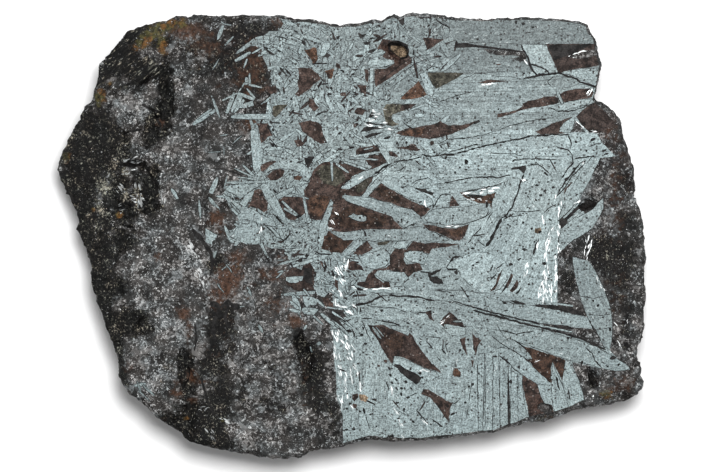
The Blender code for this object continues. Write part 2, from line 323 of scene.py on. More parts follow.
UPPER_MIDDLE = [
    window("dark", (11.3, 54.2), (12.3, 54.6), (13.2, 55.4), (13.1, 54), (12.9, 52.6), (12.2, 53)),
    window("dark", (16.5, 54.8), (17.5, 55.4), (19.5, 55.3), (17.3, 54.2)),
    window("dark", (1.8, 49.9), (2.5, 50.4), (3.6, 50.7), (3, 49.8), (2.2, 49.6)),
    window("dark", (2.8, 48.5), (4.8, 48.8), (4.2, 47.9), (3.3, 47.8)),
    window("brown", (6.3, 47), (7.1, 48.2), (7.5, 49.4), (10.3, 49), (11.6, 49), (12.6, 48.3), (13.9, 47.9),
        (14.3, 46.5), (14.2, 45.4), (15, 44.4), (14.8, 43.3), (12.5, 41.8), (10, 40), (7.8, 38.5),
        (5.9, 37.4), (5.6, 39), (5.6, 41.8), (8.6, 42), (10.6, 43.3), (10.4, 44), (8.5, 44.4), (7.6, 45),
        (8.3, 46.2), (7.6, 46.6)),
    window("dark", (9, 48.9), (11.6, 49), (13.9, 48), (14.3, 46.3), (13.9, 44.6), (12.5, 44.2),
        (10.6, 45.6), (9, 46.8)),
    window("tan", (9.6, 47.8), (11.3, 47.6), (13, 47.5), (14, 46.2), (13.3, 44.9), (12, 44.8), (10.9, 45.7),
        (9.8, 46.5), tone=0.72),
    window("dark", (4, 46), (4.2, 46.5), (6.3, 46.8), (5, 45.8)),
    window("brown", (2.9, 41.9), (4.1, 41.7), (4.2, 39.8), (3.9, 38.3), (3.2, 39.5), (3.3, 40.8)),
    window("brown", (1.2, 37.8), (3.6, 37.8), (3.6, 36), (3.2, 35.2), (2.4, 36.3)),
    window("brown", (-4, 43.5), (-3, 43), (-3, 41.9), (-4, 42.3), tone=0.8),
    window("brown", (0.5, 31), (1.2, 32.2), (2.3, 32.2), (3.4, 31.5), (2.7, 30.3), (1.2, 30.5), tone=0.7),
    window("dark", (4.2, 30), (5, 31.3), (5.6, 30.2), (4.6, 29.7)),
    window("olive", (7.8, 31.8), (8.6, 33), (10.5, 33.2), (13, 33), (13.5, 31.6), (11.5, 31), (10.2, 30.4),
        (9.8, 29.5), (10.8, 28.4), (12, 28.2), (10, 27.4), (8.5, 28.3), (8.2, 29.6), (7.9, 30.5)),
    window("brown", (12.5, 33), (16.2, 33.2), (15, 32.2), (13.5, 31.6), (12, 31.4), tone=0.7),
    window("rust", (12, 34.3), (13.5, 36), (15, 37.2), (16.6, 39), (17.5, 37.4), (18.7, 35.5), (17.8, 34.9),
        (15.5, 34.4), (13, 34.2)),
    window("olive", (18.8, 40.9), (22, 41), (28, 40.9), (27, 40), (24, 38.4), (21, 36.8),
        (20.2, 38), tone=0.62),
    window("brown", (17.8, 49.7), (20, 49.6), (23.1, 49.2), (21.5, 48.3), (20, 47.2), (18.8, 46.6),
        (18.3, 48)),
    window("brown", (10.8, 25.8), (12, 26.4), (13.5, 27), (16, 27.2), (18.5, 27.8), (20.3, 28), (22, 28.8),
        (24, 27.8), (28, 27.9), (31.8, 29.2), (30.5, 28.2), (28.5, 27), (26.5, 26.3), (24.5, 25.4),
        (22, 24.8), (19.5, 24.3), (17, 24.6), (15, 24.9), (12, 25.3)),
    window("rust", (12.5, 26.2), (15.5, 26.9), (18, 27), (17.5, 25.4), (15, 25.1), (13, 25.3)),
    window("dark", (3, 25), (5, 25.8), (8, 26.1), (6, 25.2), (3.7, 24.6)),
    window("dark", (3, 27.3), (5, 27.6), (8.3, 27), (5.5, 26.7), (2, 26)),
    blade(1.1, 0, (3.8, 43), (4.5, 44.4), (6.5, 44.2), (9.8, 43.9), (10.6, 43.3), (9, 42.7), (6.5, 42.2),
        (5, 42.4)),
    blade(1.0, 20, (4.2, 45), (5, 45.6), (7.8, 46.4), (8.3, 46), (7, 45.2), (5, 44.7)),
    lath(5, 42.1, 4.8, 35.6, 0.9, 0.9, 0.6, 1.12),
    blade(1.18, -20, (0, 39.9), (1.4, 39.6), (3, 38.9), (3.5, 38.3), (2, 38.1), (0.5, 38.7)),
    blade(1.2, -62, (17, 40.6), (18.5, 41), (20.7, 36.8), (20, 35), (19, 35.4)),
    blade(1.25, 10, (18, 41.2), (20.5, 42.5), (21.5, 42), (21.8, 41.2)),
    blade(1.15, -20, (10, 29.8), (11, 30.5), (12.5, 30.3), (12.3, 29), (11.3, 28.4), (10.3, 28.9)),
    *each(painted_glint, (5.0, 31.3, 7.9, 30.8, 1.5, 0.45), (3.9, 29, 8.4, 28.5, 0.6, 0.6),
        (3.3, 27.9, 9.9, 26.8, 0.4, 0.8)),
    *each(crack, (0.4, (3.4, 28.5), (6, 28.1), (8.4, 27.8)),
        (0.3, (20.8, 54.5), (22.3, 53.3), (24, 52.3), (25, 50.8), (26.5, 49.3)),
        (0.18, (6.2, 38.3), (11, 42), (15, 44.8), (19.5, 45.6)),
        (0.15, (7.5, 37.3), (12, 40.6), (16, 43.2), (19, 44.6)),
        (0.15, (9.5, 37), (13, 39.6), (16.5, 41.8)),
        (0.2, (22, 33.7), (25, 34.8), (27.5, 35.5), (30, 36.3)),
        (0.25, (7, 34.5), (9, 33.9), (9.8, 34.9))),
    *each(pit, (0.8, 41.7, 0.6, 0.25, 10), (0.2, 40.5, 0.5, 0.25, 20), (-2.4, 41.4, 0.6, 0.25, -25),
        (-2.2, 35.6, 0.8, 0.6, 0, "brown", 1.0), (1, 27.8, 0.9, 0.5, 30, "brown", 0.8),
        (9, 24.7, 0.8, 0.3, 20), (12.8, 50, 0.3, 0.25), (4.9, 49.5, 0.5, 0.25, 30),
        (14.2, 38.9, 0.25, 0.25), (8, 52, 0.5, 0.25), (-3.5, 49.7, 0.5, 0.4, 60),
        (15.4, 46, 0.25, 0.8, 0), (20, 23.3, 0.5, 0.6, 0, "brown", 0.9)),
]

UPPER_RIGHT = [
    blade(0.93, 0, (26.5, 48.3), (33, 48.6), (42, 48.1), (60.8, 48.2), (66, 50), (60, 58), (40, 58),
        (24, 58), (24.5, 51)),
    rock((33, 46.9), (38, 46.4), (43.2, 45.9), (43.7, 44.7), (43.5, 43.6), (42, 43.7), (39.6, 44.5),
        (42, 44.9), (40, 45.3), (36, 45.2), (34, 45.9)),
    window("dark", (25.4, 47.2), (26.3, 48.2), (28, 48.4), (33, 47.7), (38, 47), (43.3, 46.3), (43.4, 45.9),
        (38, 46.4), (34, 46.9), (31, 47.2), (27, 47.1)),
    blade(1.16, -62, (42.3, 48), (48.4, 48), (51.6, 41), (48.8, 41), (48.5, 41.9), (45.2, 43), (44.5, 43.3),
        (43.5, 45.5)),
    blade(1.1, -62, (44.9, 42.8), (48.3, 41.8), (48.4, 40.7), (46.5, 40.2), (45.4, 41.8)),
    window("umber", (48.6, 48), (60.8, 48.1), (60.9, 47), (61.8, 45), (62.5, 43), (59.5, 42.2), (56, 41.9),
        (53.5, 41.4), (52.5, 41), (51.5, 41), (50.2, 44), tone=1.1),
    window("dark", (49, 47.8), (60, 48), (56, 46), (52.5, 44.6), (50.4, 44.2)),
    rock((53.5, 44.8), (60.8, 46.9), (61.3, 45.2), (57, 44.4)),
    painted_glint(54.3, 45.1, 59, 46.8, 0.4, 0.75),
    blade(1.08, 10, (53.4, 40.8), (55, 41.6), (58.5, 41.9), (62.5, 41.8), (62.5, 39.2), (58, 39.3),
        (56.5, 39.8)),
    blade(0.74, 5, (50, 38), (51.5, 39.6), (54, 39.9), (56.3, 39.1), (56.8, 38.3), (54.5, 37.3),
        (51.5, 36.9)),
    window("brown", (51.8, 35.4), (53, 36.3), (56, 36.9), (59.5, 37), (60.4, 36), (60, 34.8), (56, 34),
        (53.3, 33.3), (52.3, 34.3)),
    *each(painted_glint, (58.5, 35, 59.2, 36.2, 0.4), (59.3, 35.2, 60, 36.5, 0.35)),
    window("brown", (42.8, 33.3), (44, 33.9), (46, 34.2), (48, 34.9), (50.8, 35.1), (51.5, 34.5),
        (51.8, 33.4), (50, 32.9), (47, 32.4), (44, 31.9), (42.5, 31.6), (39, 30.3), (36.3, 29.7),
        (36.4, 30.6), (38.5, 31), (41, 31.5), (42.5, 32.4)),
    lath(51.3, 36.2, 52.6, 33.2, 0.5, 0.6, 0.4, 1.0),
    blade(1.05, 8, (50, 32.3), (53, 33.3), (56, 34), (60, 34.5), (59, 33), (55, 32), (52.5, 31.3)),
    window("umber", (56, 30), (57.5, 31.5), (60, 33.3), (62, 34), (66, 28), (64, 27), (61.3, 25.7),
        (59.3, 26), (57.5, 27.8), (56.5, 29.2), tone=1.0),
    window("umber", (45.8, 26.2), (48, 27.2), (50.5, 28.4), (53, 29.3), (55.3, 29.9), (54, 28.9),
        (52.5, 27.6), (51.9, 26.3), (53.5, 25.6), (50, 25.6), (47, 25.5), tone=1.3),
    rock((55.8, 29), (57.3, 27.9), (58.3, 26.2), (56, 26), (54.3, 25.9), (55.2, 27)),
    blade(1.22, 60, (55.4, 29.9), (55.7, 28.7), (55, 27.2), (54, 26), (52.5, 26.2), (52, 27), (53, 28.3)),
    window("brown", (31.5, 38.4), (34, 39.2), (37, 39), (39.8, 38.9), (37, 38.6), (33, 38.2)),
    *each(painted_glint, (31.8, 37.8, 36.2, 38.3, 0.4), (56.2, 28.9, 57.8, 27.4, 0.4, 0.9),
        (59, 26.2, 61.5, 26.3, 0.35, 0.9), (42.7, 44.2, 43.8, 43.2, 0.5, 0.8)),
    *each(crack,
        (0.45, (42.2, 48.1), (42.7, 46.6), (43.5, 45.6), (44.1, 44.4), (44.5, 43), (45.2, 41.4),
         (46.2, 40.2)), (0.35, (44.6, 43.2), (46.5, 42.5), (48.6, 41.7), (49.3, 40.8)),
        (0.5, (42.7, 39.4), (45, 39.9), (47, 40.3), (50, 40.7), (52, 40.7), (54, 40), (56.2, 39.4),
         (57, 38.6), (59, 37.9), (62, 37.2)),
        (0.3, (49, 32.3), (51, 31.4), (54, 31.2), (57, 31.9), (60.4, 33.2)),
        (0.18, (24, 24.2), (30, 24.8), (33.5, 25.6), (36.8, 26.6), (40, 27.8), (43.5, 28.6), (47, 29.3),
         (52, 30)),
        (0.4, (26, 20.7), (29.5, 21.6), (33, 22.6), (36, 23.2), (40, 24), (44, 24.9), (50, 25.5),
         (54.5, 25.4)), (0.2, (49.9, 37.6), (48.8, 38.6), (50.5, 40)),
        (0.15, (27, 39), (31, 40.8), (36, 40.2), (42, 39.5))),
    *each(pit, (42.8, 53.2, 0.5, 0.35), (45.2, 52.3, 0.35, 0.3), (31.4, 49.3, 0.35, 0.3),
        (44.3, 51, 0.5, 0.15), (51, 50.8, 0.4, 0.15), (41, 53.5, 0.3, 0.5), (37.3, 49.2, 0.3, 0.25),
        (26.4, 34.5, 0.35, 0.3), (48, 29.2, 0.6, 0.25), (36.6, 31.8, 0.25, 0.2), (60.4, 41.3, 0.3, 0.25),
        (43, 40.8, 0.4, 0.2), (25.8, 43, 0.2, 0.2), (36.6, 43, 0.7, 0.2, 0, "brown", 1.6),
        (31.2, 28.6, 0.9, 0.4, 25)),
]

MIDDLE_LEFT = [
    window("brown", (-25.6, 8), (-24.9, 9.8), (-24.5, 11.5), (-23.3, 12), (-22.6, 11.5), (-22, 10),
        (-21, 8.3), (-21.2, 6.5), (-22, 6), (-23.5, 7), (-24.8, 7.6), (-26, 7.2)),
    window("brown", (-23, 17.5), (-21.5, 18.5), (-19.5, 19), (-18.7, 18.6), (-20.5, 17.7), (-22, 16.3),
        (-22.8, 16.3), tone=1.2),
    window("brown", (-18.4, 9), (-17, 10), (-14, 9.9), (-11.5, 9.5), (-11, 8), (-11.5, 6), (-12.5, 5.2),
        (-14.5, 4), (-16, 4.3), (-17.6, 7), tone=0.9),
    window("brown", (-9.8, 16.2), (-8.3, 17.9), (-6.8, 18.7), (-5.3, 18.6), (-3.5, 18.3), (-1.5, 16.5),
        (0, 15), (-0.5, 13), (-1.5, 11.8), (-2, 10), (-1, 8.8), (-4.5, 9), (-6, 6), (-7, 4.3), (-9, 4),
        (-10.5, 4.5), (-11.3, 6.5), (-11.8, 9), (-12, 11.5), (-10.7, 13.5)),
    window("olive", (-9, 16), (-7.5, 17.8), (-5, 17.8), (-2.5, 16.5), (-1.5, 14), (-4, 12.5),
        (-7, 13.2), tone=0.75),
    window("rust", (-11, 9.5), (-9, 10.3), (-6, 10), (-5.7, 8), (-7, 6.5), (-8, 4.6), (-10, 5),
        (-11, 7), tone=0.8),
    window("rust", (-4.3, 9), (-3.5, 8.5), (-2, 9), (1.5, 8.6), (1, 5), (0.5, 2), (-2, 1.7), (-4, 1.8),
        (-5.5, 2.5), (-6.1, 3.8), (-5.2, 5.8), (-4.6, 7.5), tone=0.6),
    window("rust", (-6, 1.3), (-4, 1), (-2.8, -0.3), (0.4, -1), (-1.5, -3), (-2.6, -4.2), (-5, -3.9),
        (-7, -3.3), (-7.8, -2.7), (-7, -1), (-6.3, 0.5), tone=0.62),
    window("dark", (-12, 19.5), (-10.8, 20), (-9.5, 20), (-10, 18.5), (-10.8, 17), (-11.7, 18.3)),
    window("brown", (-21.3, 15), (-20, 16.3), (-18, 16.9), (-16.7, 16.5), (-17.3, 15), (-19, 14),
        (-20.3, 14), tone=0.8),
    window("rust", (-14.7, 15), (-13.6, 15.3), (-12.5, 14.8), (-13, 14), (-14.4, 14.2), tone=0.6),
    window("dark", (-19.2, 4.7), (-18, 3.5), (-17, 2.7), (-17.5, 3.6), (-18.7, 5.2)),
    window("dark", (-13.9, -6), (-12.3, -5.1), (-12.4, -6.4), (-13.5, -6.4)),
    blade(0.98, 5, (-32, 12.5), (-29, 12.9), (-24.5, 13.2), (-22.6, 12.9), (-24.5, 12), (-26.5, 10.5),
        (-28, 9.3), (-29, 10.3), (-31.5, 11.6)),
    blade(1.02, -38, (-32.4, 10.7), (-30.5, 9.7), (-28.5, 8), (-25.5, 7), (-23.5, 6), (-21.5, 4.8),
        (-19.5, 4), (-19, 2.5), (-21, 2.8), (-24, 3.3), (-27, 4), (-28.5, 5), (-30, 6.5), (-31, 8.5)),
    lath(-27.5, 7.8, -24.8, 11.2, 1.6, 1.5, 0.6, 1.05),
    blade(1.08, -60, (-23, 12.5), (-22, 13.3), (-21, 12.5), (-19.5, 10.8), (-18.5, 9), (-17.6, 7),
        (-16.8, 5.5), (-16.3, 3.5), (-17.5, 4), (-19.2, 6), (-20.6, 8), (-21.7, 10)),
    blade(1.04, 20, (-22.3, 15), (-21.5, 16.5), (-19.5, 18.3), (-17, 19.3), (-14.5, 18.8), (-12, 18),
        (-10.5, 16.5), (-10.1, 15.3), (-11, 13.8), (-12, 14), (-13, 16), (-15, 16.8), (-18, 17.1),
        (-20.5, 16.5)),
    *each(lath, (-18.8, 9.8, -14.6, 12, 1.2, 1.2, 0.6, 1.02), (-17.5, 8.8, -12, 3.6, 0.4, 0.6, 0.4, 0.98),
        (-17, 7, -12.5, 4.4, 0.4, 0.5, 0.3, 1.0), (-12, 9.3, -11, 4, 0.5, 0.6, 0.6, 1.02),
        (-15, 10.6, -10.8, 9.4, 0.3, 0.4, 0.2, 0.95), (-14, 12, -11.6, 9, 0.3, 0.4, 0.2, 0.95),
        (-4.9, 13.8, -5.1, 18.6, 0.2, 0.5, 0.6, 1.05), (-10.3, 17, -8.8, 19.5, 0.2, 0.6, 0.9, 1.1),
        (-9.6, 18.8, -7.6, 20.6, 0.7, 1.1, 0.9, 1.15)),
    blade(1.1, 68, (-5.3, 9.2), (-4.6, 8.3), (-5.2, 6), (-6, 4), (-6.6, 1), (-7.6, -2.5), (-8.5, -1),
        (-8, 3), (-7, 5), (-6, 7.5)),
    blade(1.05, -15, (-5.2, 1.4), (-3.5, 1.3), (-1.5, 0.9), (1.2, 1), (1.2, -0.9), (-1.5, -0.8),
        (-3, -0.2)),
    *each(lath, (-2.6, 12, 1.2, 14.8, 0.3, 0.9, 0.8, 1.15), (-2.4, 10, 1.5, 9.2, 0.6, 1.1, 1.0, 1.0)),
    *each(painted_glint, (-24.3, -0.1, -24.3, 1.3, 0.5, 0.95), (-22.7, 0.6, -22.4, 2.4, 0.6, 0.95),
        (-22.7, 3.9, -22.5, 4.6, 0.5, 0.9)),
    *each(crack, (0.35, (-21.8, 2.8), (-20.6, 1.7), (-19.5, 0.8)),
        (0.3, (-20, 6), (-18.5, 4.6), (-17.2, 3)), (0.35, (-18.5, -0.3), (-17, -1), (-15.2, 0.8)),
        (0.3, (-20.6, 24.6), (-19.5, 23.2), (-18.2, 21.2)), (0.3, (-9.8, -3.2), (-8.3, -4.4), (-5, -4.6))),
    *each(pit, (-20, 23, 0.7, 0.4, -40), (-22.3, 24.3, 0.4, 0.25, -60), (-13.8, 1, 0.4, 0.3),
        (-11.3, -4.8, 0.3, 0.6), (-13.3, 5, 0.8, 0.4, 10), (-15, -1.2, 0.3, 0.25), (-8.3, -0.4, 0.3, 0.3),
        (-15.3, 18.7, 0.4, 0.3), (-13.2, 18.6, 0.6, 0.25), (-17.7, 12, 0.4, 0.3),
        (-19.3, 11.3, 0.7, 0.3, -50), (-25.4, 1.8, 0.5, 0.3)),
]

LEFT_BLADES = [
    *each(lath, (-32.2, 52.7, -33.7, 49.1, 0.5, 0.9, 0.2, 0.92),
        (-33.8, 54.4, -32, 53.2, 0.2, 0.3, 0.3, 0.8), (-32, 53.2, -30.2, 52.8, 0.3, 0.3, 0.2, 0.8),
        (-31.8, 47.8, -29.6, 50, 0.3, 0.5, 0.2, 0.75), (-28.9, 45.7, -24.3, 49.1, 0.3, 0.9, 0.8, 0.98),
        (-29.2, 43.8, -25.4, 46, 0.6, 0.9, 0.4, 0.98), (-25, 45.7, -22.3, 47.3, 0.2, 0.4, 0.3, 1.05),
        (-26.2, 44.4, -27.1, 42, 0.3, 0.5, 0.1, 0.9), (-33.3, 44.3, -34.9, 41.7, 0.1, 0.35, 0.1, 0.7),
        (-25.6, 40.8, -25.6, 38.3, 0.2, 0.4, 0.4, 0.9), (-26.4, 39.8, -26.2, 38, 0.4, 0.9, 0.9, 0.85),
        (-27, 38.3, -22.8, 37.2, 0.4, 0.6, 0.3, 0.9), (-26.9, 38.3, -28.5, 36, 0.3, 0.35, 0.1, 0.85),
        (-26.3, 37, -24.3, 34.5, 0.2, 0.5, 0.4, 0.88), (-31.3, 30.8, -29.4, 35.9, 0.7, 0.9, 0.6, 0.95),
        (-29.8, 31, -27.7, 35.8, 1.0, 1.5, 1.2, 1.0), (-29.4, 31, -27, 34.2, 0.3, 0.7, 0.6, 1.05),
        (-28.2, 32.3, -24.7, 33.3, 0.2, 1.2, 1.2, 0.95), (-32.4, 34, -28.8, 35.8, 0.3, 0.45, 0.4, 0.9),
        (-28.6, 35.8, -24.4, 34.2, 0.5, 0.8, 0.5, 0.98), (-35.1, 35.2, -33, 29.5, 0.15, 0.6, 0.2, 0.95),
        (-39.8, 28, -34.3, 31.6, 0.5, 1.1, 0.8, 1.05), (-38.7, 29.4, -35, 31.8, 0.2, 0.5, 0.4, 0.95),
        (-30.2, 29.9, -20, 30, 0.5, 1.3, 1.2, 1.0), (-29.8, 23.2, -27.6, 25.2, 0.1, 0.3, 0.1, 0.8),
        (-33, 25.1, -31, 25.5, 0.1, 0.3, 0.1, 0.75), (-32.8, 21.2, -36, 21, 0.1, 0.3, 0.2, 0.75),
        (-32.1, 22.5, -32, 20.4, 0.1, 0.25, 0.1, 0.75), (-27.4, 18, -24.4, 15, 0.2, 0.6, 0.5, 1.0),
        (-29.4, 17, -24.4, 14.7, 0.1, 0.4, 0.3, 1.0), (-28.6, 14.8, -23.8, 14.2, 0.1, 0.4, 0.4, 1.0),
        (-31.5, 13.4, -24.4, 13.6, 0.2, 0.7, 0.5, 0.95), (-30.5, 8.5, -28, 5.8, 0.1, 0.4, 0.3, 0.9),
        (-35.3, 10.8, -33.6, 14.8, 1.0, 1.2, 0.4, 0.98), (-35.8, 9.8, -34.1, 7.5, 0.2, 0.9, 0.7, 0.95),
        (-34.2, 8, -33, 6.8, 0.4, 0.4, 0.2, 0.9), (-31.2, 15.3, -32, 12, 0.1, 0.3, 0.2, 0.9),
        (-45.2, 12, -43.6, 9.4, 0.3, 0.9, 0.5, 0.98), (-38.2, 9.2, -37.9, 4.4, 0.1, 0.6, 0.2, 0.9)),
    blade(1.1, 0, (-36.6, 2), (-35, 1), (-33.7, 0.4), (-33.8, -0.5), (-35, -1.2), (-35, -2), (-36.6, -1.5)),
    lath(-35.2, -6, -34, -3.7, 0.3, 1.0, 0.4, 0.85),
    blade(0.98, 20, (-31.5, 0.7), (-29.5, 1.2), (-28.3, 2.6), (-26.5, 4), (-24, 3.5), (-23, 0), (-23, -1.8),
        (-26.5, -2), (-28.3, -1), (-29, -0.8)),
    *each(lath, (-29.4, -2.3, -28.2, -0.4, 0.1, 0.6, 0.6, 0.9),
        (-21, -5.3, -22.8, -1.8, 0.2, 0.6, 0.8, 1.05), (-28.4, 3.8, -25.8, 3.6, 0.2, 0.9, 0.8, 0.9),
        (-18.2, -6.9, -14.8, -6, 0.1, 0.5, 0.4, 0.95), (-15, -7.6, -9.8, -5.9, 0.4, 0.8, 0.6, 1.1)),
    crack(0.4, (-35.2, 17), (-32, 16.8), (-29.5, 16), (-27.3, 15.2), tone=0.8),
]

